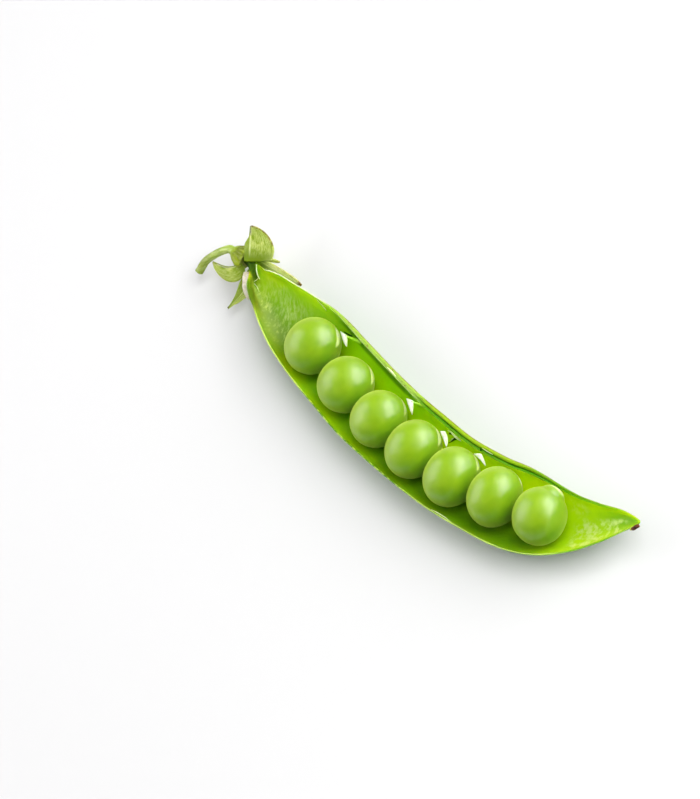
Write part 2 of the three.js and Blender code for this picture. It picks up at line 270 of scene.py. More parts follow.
# %% [markdown]
# ## The pod wall's cross-section
# Seen end-on, the valve is a half-round trough. Its lower rim is thin. Its upper rim is the pod's seam. Near
# the stem that is a flat band, and further on a raised lip with a groove beside it, where the halves came
# apart. The section is one closed loop: down the outside, over the lower rim, back up the inside and over
# the upper rim. Each stretch has a fixed share of the loop, so the materials can tell later, from v alone,
# whether a point is outside, inside or on a rim.

# %% Shares of the loop and sizes of the wall
OUTSIDE, LOWER_RIM, INSIDE = 0.36, 0.41, 0.80  # where each stretch of the loop ends; the upper rim ends at 1
WALL_POWER = 2.1  # 2 makes the section an ellipse, more makes it boxier
LOWER_SEAM = 0.24  # thickness of the wall at the lower, plain rim
UPPER_SEAM = [  # x along the pod and the thickness of the upper rim, which has a groove where it is thick
    (-3.0, 0.3), (13.0, 0.32), (18.0, 0.5), (22.0, 0.72), (28.0, 0.85), (36.0, 0.9), (41.0, 1.05),
    (46.0, 1.3), (62.0, 1.3), (70.0, 1.0), (76.0, 0.7), (84.0, 0.45), (90.2, 0.3),
]
THICKEST = {"lower": 0.3, "upper": 0.35}  # share of the half width that a rim takes at most
THINNEST = 0.04
LOWER_CROWN = 0.112  # how far the rounded lower rim stands above the seam height
INNER_DROP = {"lower": 0.1, "upper": 0.22, "groove": 0.5}  # how far below it the inside starts
RAGGED = [(0.08, 0.9, 3.1), (0.05, 2.7, 7.7)]  # height, turns to the millimetre and seed of the rims' waves
GROOVE = (40, 47, 74, 84)  # x where the groove starts, is full, fades and ends
TUCK, TUCK_DEPTH = (47, 57, 63, 70), 0.05  # x where the upper side is narrower, and by how much
FLARE = (60, 74, 86, 90)  # x where the lower side leans out, near the tip
FLARE_OUT, FLARE_POWER = 0.45, 1.5
RIDGE = 0.45  # how far the floor rises between two peas
PARTED = (0.3, 3)  # depth of the hollow at which the rims start to part, and at which they have parted
PEA_ROW = (PEAS[0].x - 1, PEAS[0].x + 3, PEAS[-1].x - 3, PEAS[-1].x + 1)
print("the groove runs from", GROOVE[0], "to", GROOVE[-1], "mm along the pod")

# %% Sizes that depend only on the place along the pod
Rims = namedtuple("Rims", "opened lower upper groove flare ragged")
seam_thickness = through_rows(UPPER_SEAM)


@lru_cache(maxsize=None)
def rims_at(x):
    """How far the rims have parted, their thickness, how much groove and flare there is, and their waves."""
    pod = pod_at(x)
    opened = smooth(*PARTED, pod.hollow)
    lower = min(LOWER_SEAM, THICKEST["lower"] * pod.half) * opened
    upper = min(seam_thickness(x)[0], THICKEST["upper"] * pod.half) * opened
    ragged = sum(high * noise.noise(Vector((x * pace, seed, 0))) for high, pace, seed in RAGGED)
    return Rims(opened, lower, upper, window(GROOVE, x), window(FLARE, x), ragged * opened)


def between_peas(x):
    """1 half way between two peas, 0 at a pea and beyond the row."""
    return window(PEA_ROW, x) * max(1 - wall_swell(x) / PEA_SWELL, 0)


print("upper rim at the fourth pea: %.2f mm thick" % rims_at(47.2).upper)

# %% Profile of the upper rim
rim_profile = through_rows([  # share of the rim, how far in, height of the flat band and of the grooved rim
    (0.0, 1.0, -0.22, -0.72),
    (0.12, 0.97, -0.02, -0.62),
    (0.22, 0.86, 0.08, -0.6),
    (0.36, 0.68, 0.02, -0.66),
    (0.5, 0.56, 0.0, -0.3),
    (0.62, 0.46, 0.02, 0.04),
    (0.78, 0.24, 0.06, 0.16),
    (0.92, 0.05, 0.06, 0.1),
    (1.0, 0.0, 0.0, 0.0),
])
WAVED_RIM = (0, 0.25, 0.85, 1)  # share of the upper rim that has waves
print("the rim steps from", rim_profile(0.36)[2], "up to", rim_profile(0.78)[2], "mm beside the groove")


# %% The outside and the lower rim: how far across, and how high
def superarc(value, power):
    return math.copysign(abs(value) ** (2 / power), value)


def section_side(x, turn):
    """How far the section leans out on this side, and the power that shapes it."""
    lean = rims_at(x).flare if turn > math.pi / 2 else 0
    return lean, WALL_POWER + (FLARE_POWER - WALL_POWER) * lean


def outer_wall(x, share):
    pod, swell, turn = pod_at(x), wall_swell(x), math.pi * share
    lean, power = section_side(x, turn)
    deep = superarc(math.sin(turn), power)
    across = superarc(math.cos(turn), power) * (pod.half + FLARE_OUT * lean)
    return across * (1 + swell * deep / pod.half), pod.seam - (pod.seam - pod.keel + swell) * deep


def lower_rim(x, share):
    pod, rims, turn = pod_at(x), rims_at(x), math.pi * share
    across = -pod.half - FLARE_OUT * rims.flare + rims.lower * (0.5 - 0.5 * math.cos(turn))
    crown = (LOWER_CROWN * rims.opened + rims.ragged) * math.sin(turn)
    return across, pod.seam - INNER_DROP["lower"] * rims.opened * share + crown


print("width at the second pea: %.2f mm" % (outer_wall(29.0, 0)[0] - outer_wall(29.0, 1)[0]))


# %% The inside and the upper rim
def inner_wall(x, share):
    pod, rims, swell, turn = pod_at(x), rims_at(x), wall_swell(x), math.pi * (1 - share)
    lean, power = section_side(x, turn)
    lip, drop = max(rims.upper, THINNEST), INNER_DROP["upper"] + INNER_DROP["groove"] * rims.groove
    if turn > math.pi / 2:
        lip, drop = rims.lower - FLARE_OUT * lean, INNER_DROP["lower"]
    drop *= rims.opened
    deep = superarc(math.sin(turn), power)
    rise = RIDGE * between_peas(x) * math.sin(turn) ** 2 * rims.opened
    across = (pod.half - lip) * superarc(math.cos(turn), power) * (1 + swell * deep / pod.half)
    return across, pod.seam - drop - (pod.hollow - drop + swell * rims.opened) * deep + rise


def upper_rim(x, share):
    """A flat band near the stem. Further on it is a lip, with a step down into a groove beside it."""
    pod, rims = pod_at(x), rims_at(x)
    inward, flat, grooved = rim_profile(share)
    lift = (flat + (grooved - flat) * rims.groove) * rims.opened
    return pod.half - rims.upper * inward, pod.seam + lift + rims.ragged * window(WAVED_RIM, share)


print("floor at the second pea: %.2f mm" % inner_wall(29.0, 0.5)[1])

# %% One point of the wall
STRETCHES = [  # each stretch with the shares of the loop where it starts and ends
    (outer_wall, 0.0, OUTSIDE), (lower_rim, OUTSIDE, LOWER_RIM), (inner_wall, LOWER_RIM, INSIDE),
    (upper_rim, INSIDE, 1.0),
]


def wall_point(x, v):
    """The point at share v of the closed section at x."""
    pod = pod_at(x)
    stretch, start, end = next(row for row in STRETCHES if v <= row[2])
    across, z = stretch(x, (v - start) / (end - start))
    if across > 0:
        across *= 1 - TUCK_DEPTH * window(TUCK, x)
    point = pod.middle + pod.ventral * across
    point.z = max(z, 0)
    return point


print("rim of the wall at the second pea:", tuple(round(c, 2) for c in wall_point(29.0, 0)))

# %% [markdown]
# ## The wall
# The grid's rows crowd together towards the neck and the tip, where the form changes fast. Its UV map holds
# the millimetres along the pod and the share of the loop, and the material is painted by them. The short
# neck between the calyx and the hollow is marked point by point. It is painted a darker green, partly its own
# and partly painted shade from the calyx above it.

# %% Grow the wall
WALL_ROWS, WALL_LOOP = 420, 150
WALL_CROWDING = 0.62
NECK_TO_TIP = (SPINE[0][0], SPINE[-1][0])
UV_LENGTH = 100  # millimetres along the pod for one unit of u
NECK_EDGES = [  # in plan; the neck is to the right of both
    ((-0.57, 0.63), (0.87, -1.18)), ((0.45, -1.46), (0.2, -2.24)),
]
NECK_BLUR = 0.15


def wall_station(u):
    low, high = NECK_TO_TIP
    return round(low + (high - low) * (u - WALL_CROWDING * math.sin(2 * math.pi * u) / (2 * math.pi)), 5)


def right_of(point, edge):
    """How far a point lies to the right of an edge, seen from above."""
    start, end = (Vector(corner) for corner in edge)
    line = (end - start).normalized()
    return (point.x - start.x) * line.y - (point.y - start.y) * line.x


# 1 on the neck, which the material paints darker, partly with painted shade
def neck_mark(u, v):
    point = wall_point(wall_station(u), v)
    return min(smooth(0, NECK_BLUR, right_of(point, edge)) for edge in NECK_EDGES)


pod_wall = grow(
    "pod_wall", WALL_ROWS, WALL_LOOP,
    lambda u, v: wall_point(wall_station(u), v),
    lambda u, v: (wall_station(u) / UV_LENGTH, v),
    marks={"neck": neck_mark},
)


# %% Close both ends of the wall
def close_holes(piece):
    bm = bmesh.new()
    bm.from_mesh(piece.data)
    rim = [edge for edge in bm.edges if edge.is_boundary]
    bmesh.ops.holes_fill(bm, edges=rim, sides=0)
    bmesh.ops.recalc_face_normals(bm, faces=bm.faces)
    bm.to_mesh(piece.data)
    left = sum(edge.is_boundary for edge in bm.edges)
    bm.free()
    print(f"{piece.name}: {len(rim)} open edges closed, {left} left")


close_holes(pod_wall)

# %% [markdown]
# ## Peas
# A pea is nearly a ball, but a plain sphere looks like a bead. The real one is flattened where it lay
# against its neighbours, rises slightly towards its stalk, and its skin has very faint dimples. An icosphere
# has no poles, so it shows no pinch in the highlight, and three small changes to its radius are enough. The
# place where the stalk sat is a pale scar, the hilum. It is kept as a vertex attribute for the material, and
# so is painted shade: a darker green on the pea's lower sides, where it lies in the shade of its neighbours
# and of the wall.

# %% Shape of a pea
PEA_FINENESS = 6
PRESSED = {"depth": 0.05, "from": 0.72}  # share of its radius that a pea loses at its neighbours
STALK_RISE_FROM = 0.86  # how near to the stalk the skin starts to rise
DIMPLE = {"depth": 0.006, "size": 2.2}
# painted shade: each row darkens the side of a pea that faces one direction
SHADED_SIDES = [  # share of the darkening, the direction it looks in, and where it starts and is full
    (0.7, Vector((0.47, -0.82, -0.33)), 0.15, 0.8),
    (0.3, Vector((0.69, 0.58, -0.43)), 0.2, 0.6),
]
SCAR_LENGTH, SCAR_BELOW = 0.42, 0.2  # half sizes of the scar, as shares of the pea's radius


def stalk_aim(pea):
    """The direction from a pea's centre to its stalk."""
    pod = pod_at(pea.x)
    return (pod.along * pea.lean + pod.ventral + Vector((0, 0, pea.lift))).normalized()


def pea_radius(pea, number, out):
    """How far from the centre the skin is in the direction out, as a share of a plain ellipsoid's radius."""
    pressed = smooth(PRESSED["from"], 1.0, abs(out.dot(pod_at(pea.x).along)))
    rise = smooth(STALK_RISE_FROM, 1.0, out.dot(stalk_aim(pea))) * pea.rise
    dimples = noise.fractal(out * DIMPLE["size"] + Vector((17 * number, 0, 5)), 1.0, 2.0, 2)
    return 1 - PRESSED["depth"] * pressed + rise + DIMPLE["depth"] * dimples


def scar_mark(pea, out):
    """1 on the scar, a short crescent across the direction of the stalk, and 0 elsewhere."""
    aim = stalk_aim(pea)
    lengthwise = out.dot(Vector((-aim.y, aim.x, 0)).normalized())
    upward = out.z - aim.z
    spread = math.hypot(lengthwise / SCAR_LENGTH, upward / (pea.scar if upward > 0 else SCAR_BELOW))
    return (1 - smooth(0.7, 1.0, spread)) * smooth(0.3, 0.6, out.dot(aim))


print("the first stalk points", tuple(round(c, 2) for c in stalk_aim(PEAS[0])))


# %% Make the seven peas
def make_pea(number, pea):
    pod = pod_at(pea.x)
    centre = pea_centre(pea)
    bm = bmesh.new()
    scar, deep = (bm.verts.layers.float.new(name) for name in ("scar", "deep"))
    bmesh.ops.create_icosphere(bm, subdivisions=PEA_FINENESS, radius=1)
    for vert in bm.verts:
        out = (pod.along * vert.co.x + pod.ventral * vert.co.y + Vector((0, 0, vert.co.z))).normalized()
        size = Vector((vert.co.x * pea.long, vert.co.y * pea.wide, vert.co.z * pea.wide)) / 2
        skin = pod.along * size.x + pod.ventral * size.y + Vector((0, 0, size.z))
        vert[scar] = scar_mark(pea, out)
        # deep holds painted shade, a darker green on the pea's lower sides
        vert[deep] = sum(share * smooth(low, high, out.dot(side)) for share, side, low, high in SHADED_SIDES)
        vert.co = (centre + skin * pea_radius(pea, number, out) - ORIGIN) * MM
    return finish_mesh(f"pea_{number}_skin", bm)


peas = [make_pea(i + 1, pea) for i, pea in enumerate(PEAS)]

# %% [markdown]
# ## Flaps and pea stalks
# The stalk of a pea, or funicle, is a short cord from the upper seam. When the pod is opened, most stalks
# tear. Four peas keep the white, flat end of theirs, which stands beside them as a small flap, and at two of
# them the green cord still runs from the flap to the seam. A flap is a grid between two curved sides that
# meet in its tip, made solid with a Solidify modifier. A cord is a tube that runs into the flap's edge.

# %% Make the flaps
FLAPS = {  # x and y of the corner at the pea, its side's bend, the tip, the other side's bend and corner
    1: [(22.6, -1.01), (23.85, -2.06), (25.07, -2.59), (24.94, -1.72), (24.16, -1.05)],
    3: [(40.95, -4.19), (42.34, -5.2), (43.39, -5.88), (43.2, -4.82), (42.36, -3.95)],
    4: [(50.0, -5.61), (51.52, -6.48), (52.41, -7.14), (52.38, -5.77), (50.84, -5.21)],
    5: [(57.8, -5.62), (59.09, -5.68), (60.57, -6.13), (60.05, -5.35), (58.94, -4.95)],
}
FLAP = {"height": 7.1, "droop": 0.5, "arch": 0.12, "ruffle": 0.06, "thick": 0.16}


def curved(start, bend, end, t):
    """A curve from start to end that bends towards a third point."""
    return start * (1 - t) ** 2 + bend * 2 * t * (1 - t) + end * t**2


def flap_point(number, u, v):
    """A flap from its upper edge (u = 0) to its tip (u = 1), and from the pea's side to the stalk's."""
    near, near_bend, tip, far_bend, far = (Vector((*corner, FLAP["height"])) for corner in FLAPS[number])
    left, right = curved(near, near_bend, tip, u), curved(far, far_bend, tip, u)
    ruffle = FLAP["ruffle"] * noise.noise(Vector((u * 4, v * 3, number * 5)))
    arch = FLAP["arch"] * math.sin(math.pi * v) * (1 - u)
    return left.lerp(right, v) + Vector((0, 0, arch - FLAP["droop"] * u**2 + ruffle))


def make_flap(number):
    sheet = grow(f"pea_flap_{number}", 28, 14, lambda u, v: flap_point(number, u, v))
    return make_solid(sheet, FLAP["thick"])


flaps = [make_flap(number) for number in FLAPS]

# %% Tubes along a line
TUBE_STEP = 0.01  # share of the line over which its direction is measured


def along_line(points):
    """A smooth curve through points, read from 0 to 1 by the length run."""
    run = [0.0]
    for a, b in zip(points, points[1:]):
        run.append(run[-1] + (Vector(b[:3]) - Vector(a[:3])).length)
    return lru_cache(maxsize=None)(through_rows([(r / run[-1], *p) for r, p in zip(run, points)]))


def tube(name, points, rows, sides, shape=lambda u, v: 1.0, cap=0.015):
    """A closed tube through points with a radius each. Its ends are its last rows, drawn in to a point."""
    read = along_line(points)

    def place(u, v):
        inner = min(max((u - cap) / (1 - 2 * cap), 0), 1)
        x, y, z, radius = read(inner)
        ahead, behind = read(min(inner + TUBE_STEP, 1)), read(max(inner - TUBE_STEP, 0))
        line = (Vector(ahead[:3]) - Vector(behind[:3])).normalized()
        out = Vector((0, 0, 1)).cross(line).normalized()
        up = line.cross(out)
        turn = 2 * math.pi * v
        wide = radius * min(1, u / cap, (1 - u) / cap) * shape(inner, v)
        return Vector((x, y, z)) + (out * math.cos(turn) + up * math.sin(turn)) * wide

    return grow(name, rows, sides, place)


print("tubes follow their lines in steps of", TUBE_STEP)

# %% Grow the stalks
STALK_PEAS = (1, 3)
STALK = {"root": 0.4, "waist": 0.24, "end": 0.168}  # radius at the seam, half way and at the flap
STALK_ROOT = {"forward": 1.3, "inward": 0.9, "down": 0.9}  # from the flap along the pod, and from the rim
STALK_WAIST = {"at": 0.45, "sag": 0.2}
FLAP_JOINT = (0.12, 0.7)  # where on the flap the stalk ends


def make_stalk(number):
    joint = flap_point(number, *FLAP_JOINT)
    pod = pod_at(joint.x + STALK_ROOT["forward"])
    root = pod.middle + pod.ventral * (pod.half - STALK_ROOT["inward"])
    root.z = pod.seam - STALK_ROOT["down"]
    waist = joint.lerp(root, STALK_WAIST["at"]) - Vector((0, 0, STALK_WAIST["sag"]))
    points = [(*root, STALK["root"]), (*waist, STALK["waist"]), (*joint, STALK["end"])]
    return tube(f"pea_stalk_{number}", points, 30, 16, cap=0.04)


stalks = [make_stalk(number) for number in STALK_PEAS]

# %% [markdown]
# ## Torn fibres and slits
# Where the halves of the pod parted, thin white fibres stand up from the rims and the neck, and small tears
# beside the stalks lie in shade. The slits could be cut with a Boolean, but they are only tenths of a
# millimetre wide, so each is a dark sliver that lies on the wall, a painted shadow where the wall is torn
# beside a stalk. Fibres and slits are tubes along three or four points, flattened and pointed at their ends.
# The height of the wall is looked up.


# %% Find the wall's surface from above
def on_wall(x, y, lift=0.0):
    """The point of the inner wall or of a rim over or under (x, y) in plan, raised by lift."""
    station = x
    for _ in range(3):
        pod = pod_at(station)
        wanted = Vector((x, y, 0)) - pod.middle
        station += wanted.dot(pod.along)
    low, high = LOWER_RIM, 1.0
    for _ in range(30):
        share = (low + high) / 2
        reached = wall_point(station, share) - pod_at(station).middle
        short = reached.dot(pod.ventral) < wanted.dot(pod.ventral)
        low, high = (share, high) if short else (low, share)
    return Vector((x, y, wall_point(station, low).z + lift))


print("floor of the hollow at the third pea: %.2f mm" % on_wall(38.2, -9.0).z)

# %% Places of the fibres and the slits
FIBRES = {  # points in plan, each with its height over the wall and its half width
    "neck_left": [(-0.34, 0.6, 0.25, 0.07), (0.07, -0.24, 0.25, 0.11),
                  (0.54, -0.86, 0.22, 0.1), (0.97, -1.13, 0.12, 0.04)],
    "neck_mark": [(0.54, -1.98, 0.04, 0.03), (0.58, -1.65, 0.04, 0.045), (0.64, -1.16, 0.04, 0.03)],
    "neck_low": [(0.75, -2.26, 0.03, 0.03), (1.33, -2.46, 0.04, 0.05), (2.15, -2.95, 0.03, 0.02)],
    "rim_torn": [(14.1, 1.45, 0.15, 0.06), (14.9, 1.12, 0.15, 0.12), (15.8, 0.74, 0.1, 0.05)],
    "rim_fibre": [(34.19, -1.67, 0.1, 0.05), (35.29, -1.86, 0.12, 0.14), (36.68, -2.15, 0.1, 0.05)],
    "fourth_long": [(49.48, -4.69, 0.3, 0.06), (50.88, -4.7, 0.9, 0.13),
                    (52.01, -4.91, 1.0, 0.22), (52.99, -4.97, 0.5, 0.05)],
    "fourth_short": [(50.25, -5.81, 0.5, 0.06), (50.65, -5.52, 0.7, 0.15), (51.1, -5.21, 0.75, 0.06)],
    "low_rim": [(56.26, -17.04, 0.12, 0.04), (57.42, -16.85, 0.25, 0.08),
                (59.09, -16.82, 0.2, 0.08), (61.75, -16.94, 0.1, 0.03)],
    "fifth_long": [(58.3, -4.07, 0.1, 0.04), (59.44, -4.04, 0.12, 0.07), (60.54, -3.97, 0.1, 0.04)],
}
# the slits are painted shadow, dark slivers where the wall is torn beside a stalk
SLITS = {  # the same for the dark slits
    "first": [(20.09, -0.55, 0.02, 0.06), (21.51, -0.52, 0.03, 0.17), (22.82, -0.42, 0.03, 0.1)],
    "third": [(40.8, -3.75, 0.03, 0.08), (41.7, -3.69, 0.05, 0.2), (42.6, -3.55, 0.03, 0.08)],
    "fourth_upper": [(49.39, -5.03, 0.05, 0.06), (50.07, -4.84, 0.06, 0.15), (50.7, -4.79, 0.05, 0.06)],
    "fourth_lower": [(49.58, -6.28, 0.03, 0.05), (50.35, -5.68, 0.04, 0.13),
                     (50.94, -5.23, 0.08, 0.22), (51.54, -5.06, 0.05, 0.08)],
    "fifth": [(57.94, -4.09, 0.03, 0.07), (57.96, -4.47, 0.04, 0.16), (58.15, -4.74, 0.03, 0.1)],
}
print(len(FIBRES), "fibres and", len(SLITS), "slits")

# %% Grow the fibres and the slits
SLIVER_FLATNESS = 0.55  # height of a sliver as a share of its width


def flattened(u, v):
    return SLIVER_FLATNESS + (1 - SLIVER_FLATNESS) * abs(math.cos(2 * math.pi * v))


def make_sliver(name, points):
    line = [(*on_wall(x, y, lift), half) for x, y, lift, half in points]
    return tube(name, line, 30, 10, flattened, cap=0.12)


fibres = [make_sliver(f"torn_fibre_{name}", points) for name, points in FIBRES.items()]
slits = [make_sliver(f"slit_shadow_{name}", points) for name, points in SLITS.items()]

# %% [markdown]
# ## Calyx
# Five pointed lobes stand round a shallow cup. A lobe is a small leaf folded along its midrib, with one
# broad and one narrow half. Its grid follows a curved midrib, and a Solidify modifier gives the sheet its
# thickness. The edges wave a little, since a perfectly plain edge looks cut from card.

# %% Lobe sizes
Lobe = namedtuple("Lobe", "rib side broad narrow root fold belly point taper fall", defaults=(None, 2))
LOBES = {  # midrib, direction of the broad side, breadths at the belly, and how the lobe is shaped
    "upper": Lobe([(-1.37, 0.25, 6.75), (-2.75, 2.75, 7.5), (-3.6, 5.4, 9.0)], (0.70, 0.58, -0.42),
                  4.25, 0.82, 0.93, fold=-0.18, belly=0.3, point=0.5, taper=0.85),
    "left": Lobe([(-3.2, -0.7, 6.2), (-3.9, -2.4, 6.7), (-7.05, -3.25, 7.2)], (0.47, -0.82, -0.33),
                 2.45, 0.02, 0.6, fold=-0.35, belly=0.4, point=0.7),
    "lower": Lobe([(-1.2, -0.5, 4.6), (-0.75, -4.0, 3.7), (-2.1, -8.2, 2.7)], (0.9, 0.1, -0.3),
                  1.35, 1.4, 0.5, fold=0.12, belly=0.42, point=1.0, fall=1.15),
    "outer": Lobe([(-2.85, 1.35, 5.3), (3.7, 1.72, 5.1), (9.15, 1.95, 4.9)], (0, 0.8, 0.6),
                  0.74, 1.0, 0.85, fold=-0.1, belly=0.5, point=0.6),
    "short": Lobe([(-2.9, 2.0, 4.8), (-0.2, 2.45, 4.6), (1.95, 3.25, 3.75)], (0.2, 0.6, 0.6),
                  0.5, 0.5, 0.6, fold=0.2, belly=0.4, point=0.9),
}
LOBE_THICKNESS, LOBE_WAVE = 0.34, 0.1
RIB_STEP = 0.01  # share of the midrib over which its direction is measured
LEAST_BREADTH = 0.01
print(len(LOBES), "lobes, with", Lobe._fields)


# %% Midrib and outline of a lobe
def midrib(points, t):
    """A curve that passes through three points, the middle one at t = 1/2."""
    start, middle, tip = (Vector(p) for p in points)
    return curved(start, middle * 2 - start * 0.5 - tip * 0.5, tip, t)


def lobe_outline(lobe, t, half):
    """Half breadth of a lobe at t, as a share of its greatest, which it has at its belly. A taper ends the
    narrow half early. A fall of 1 narrows the lobe in a straight line, and more keeps it full longer."""
    slim = 1 - smooth(0.45, lobe.taper, t) if half < 0 and lobe.taper else 1
    if t < lobe.belly:
        return slim * (lobe.root + (1 - lobe.root) * math.sin(0.5 * math.pi * t / lobe.belly))
    beyond = (t - lobe.belly) / (1 - lobe.belly)
    return slim * max(1 - beyond**lobe.fall, 0) ** lobe.point + LEAST_BREADTH


print("the upper lobe is", LOBES["upper"].broad + LOBES["upper"].narrow, "mm broad")

# %% Where the lobes are old and brown
AGEING = {  # by how far along the lobe and how far from its midrib, -1 to 1, a point lies
    "upper": lambda u, half: 0.9 * smooth(0.9, 1.0, half) * smooth(0.35, 0.6, u) + 0.5 * smooth(0.96, 1.0, u),
    "left": lambda u, half: 0.35 * smooth(0.9, 1.0, abs(half)),
    "lower": lambda u, half: 0.6 * smooth(0.95, 1.0, u),
    "outer": lambda u, half: max(smooth(0.86, 0.98, u), 0.45 * smooth(0.2, 0.8, half) * smooth(0.3, 0.6, u)),
    "short": lambda u, half: 0.5 * smooth(0.8, 1.0, u),
}
print("the upper lobe's edge is", AGEING["upper"](0.6, 1.0), "brown")


# %% Grow the lobes
def make_lobe(name, lobe, ageing=lambda u, half: 0.0):
    rib, side = lobe.rib, Vector(lobe.side)

    def place(u, v):
        along = (midrib(rib, min(u + RIB_STEP, 1)) - midrib(rib, max(u - RIB_STEP, 0))).normalized()
        across = (side - along * along.dot(side)).normalized()
        half = 2 * v - 1
        reach = abs(half) * lobe_outline(lobe, u, half) * (lobe.broad if half > 0 else lobe.narrow)
        wave = LOBE_WAVE * half**2 * noise.noise(Vector((u * 5, half * 2, lobe.broad)))
        height = lobe.fold * reach * abs(half) + wave
        return midrib(rib, u) + across * math.copysign(reach, half) + along.cross(across) * height

    sheet = grow(name, 60, 32, place, marks={"age": lambda u, v: ageing(u, 2 * v - 1)})
    return make_solid(sheet, LOBE_THICKNESS)


lobes = [make_lobe(f"calyx_{name}_lobe", lobe, AGEING[name]) for name, lobe in LOBES.items()]

# %% [markdown]
# ## Cup
# The cup that carries the lobes is round, so its profile is spun. It is hollow at its mouth, where the pod's
# neck stands in it, and faint ribs run down its outside.

# %% Spin the cup
CUP = {"mouth": (-2.75, 0.42, 5.45), "yaw": 2, "pitch": 9, "steps": 120}
CUP_RIBS = {"count": 10, "height": 0.03, "from": 0.6, "full": 1.5}  # radius where they start and are full
CUP_PROFILE = [  # distance back from the mouth, radius
    (3.45, 0.0), (3.45, 0.5), (3.4, 0.68), (3.2, 0.76), (2.9, 1.05), (2.4, 1.5), (1.9, 1.68), (1.4, 2.0),
    (1.0, 2.2), (0.5, 2.28), (0.15, 2.2), (0.0, 2.0), (0.0, 1.7), (0.2, 1.5), (0.8, 1.45), (1.1, 0.9),
    (1.1, 0.0),
]


def make_cup():
    bm = bmesh.new()
    ring = [bm.verts.new((-back, radius, 0)) for back, radius in CUP_PROFILE]
    edges = [bm.edges.new(pair) for pair in zip(ring, ring[1:])]
    bmesh.ops.spin(bm, geom=ring + edges, cent=(0, 0, 0), axis=(1, 0, 0), angle=2 * math.pi,
                   steps=CUP["steps"], use_merge=True)
    bmesh.ops.remove_doubles(bm, verts=bm.verts, dist=MERGE_DISTANCE)
    bmesh.ops.recalc_face_normals(bm, faces=bm.faces)
    for vert in bm.verts:
        rib = math.cos(CUP_RIBS["count"] * math.atan2(vert.co.z, vert.co.y))
        full = smooth(CUP_RIBS["from"], CUP_RIBS["full"], vert.co.yz.length)
        vert.co.yz *= 1 + CUP_RIBS["height"] * rib * full
    yaw = Matrix.Rotation(math.radians(CUP["yaw"]), 4, "Z")
    pitch = Matrix.Rotation(math.radians(CUP["pitch"]), 4, "Y")
    place = Matrix.Scale(MM, 4) @ Matrix.Translation(Vector(CUP["mouth"]) - ORIGIN) @ yaw @ pitch
    bmesh.ops.transform(bm, matrix=place, verts=bm.verts)
    piece = finish_mesh("calyx_cup", bm)
    rounded = piece.modifiers.new("rounded", "SUBSURF")
    rounded.levels = rounded.render_levels = 1
    return piece


cup = make_cup()

# %% [markdown]
# ## Pedicel
# The little stem curves down from the calyx to its cut end. It is a tube along a line, with a swollen top.
# Fine ridges run along it, so its radius changes a little with the angle.

# %% Grow the pedicel
PEDICEL = [  # x, y, z, radius
    (-11.1, -5.8, 3.3, 0.74),
    (-10.4, -3.65, 4.4, 0.7),
    (-8.9, -1.75, 5.3, 0.67),
    (-7.35, -0.32, 5.95, 0.68),
    (-6.4, 0.32, 6.1, 0.74),
    (-5.6, 0.3, 6.05, 0.8),
    (-5.0, 0.35, 6.0, 0.85),
]
STEM_RIDGES = {"count": 5, "height": 0.035, "twist": 2, "uneven": 0.05}


def stem_ridges(u, v):
    ridge = math.cos(2 * math.pi * STEM_RIDGES["count"] * v + STEM_RIDGES["twist"] * u)
    uneven = noise.noise(Vector((u * 7, v * 4, 2)))
    return 1 + STEM_RIDGES["height"] * ridge + STEM_RIDGES["uneven"] * uneven


pedicel = tube("pedicel_skin", PEDICEL, 200, 48, stem_ridges, cap=0.01)

# %% [markdown]
# ## What is left of the flower
# A papery strip of withered stamens hangs beside the neck, and a shrivelled brown style ends the pod. Both
# are dry, so they are wrinkled across their length. The strip is made as the lobes are, the style as a tube.

# %% Grow the dried pieces
STAMENS = Lobe([(-1.6, -1.35, 5.0), (-0.3, -3.15, 4.7), (1.5, -5.0, 4.3)], (0.85, 0.5, -0.1),
               0.5, 0.75, 0.7, fold=0.0, belly=0.5, point=0.6)
STYLE = [  # x, y, z, radius
    (90.8, -0.46, 7.58, 0.26),
    (90.4, -0.98, 7.48, 0.33),
    (90.07, -1.37, 7.22, 0.29),
    (89.6, -1.74, 6.95, 0.13),
]
SHRIVEL = {"deep": 0.3, "along": 9, "around": 3}


def shrivel(u, v):
    turn = 2 * math.pi * v
    round_it = Vector((0, math.cos(turn), math.sin(turn))) * SHRIVEL["around"]
    return 1 + SHRIVEL["deep"] * noise.noise(Vector((u * SHRIVEL["along"], 0, 0)) + round_it)


stamens = make_lobe("dried_stamen_strip", STAMENS)
style = tube("dried_style_skin", STYLE, 60, 32, shrivel, cap=0.08)

# %% [markdown]
# ## Materials
# Everything is painted with nodes. A small helper keeps the node code short: each call adds a node, sets its
# values and hands back the output that is used next. A mask is a value from 0 to 1 over the surface. Masks
# are multiplied to narrow a place down, and a coat of another colour is laid on where they are high.

# %% A helper for node trees
NODE_STEP = 220  # distance between two nodes in the editor


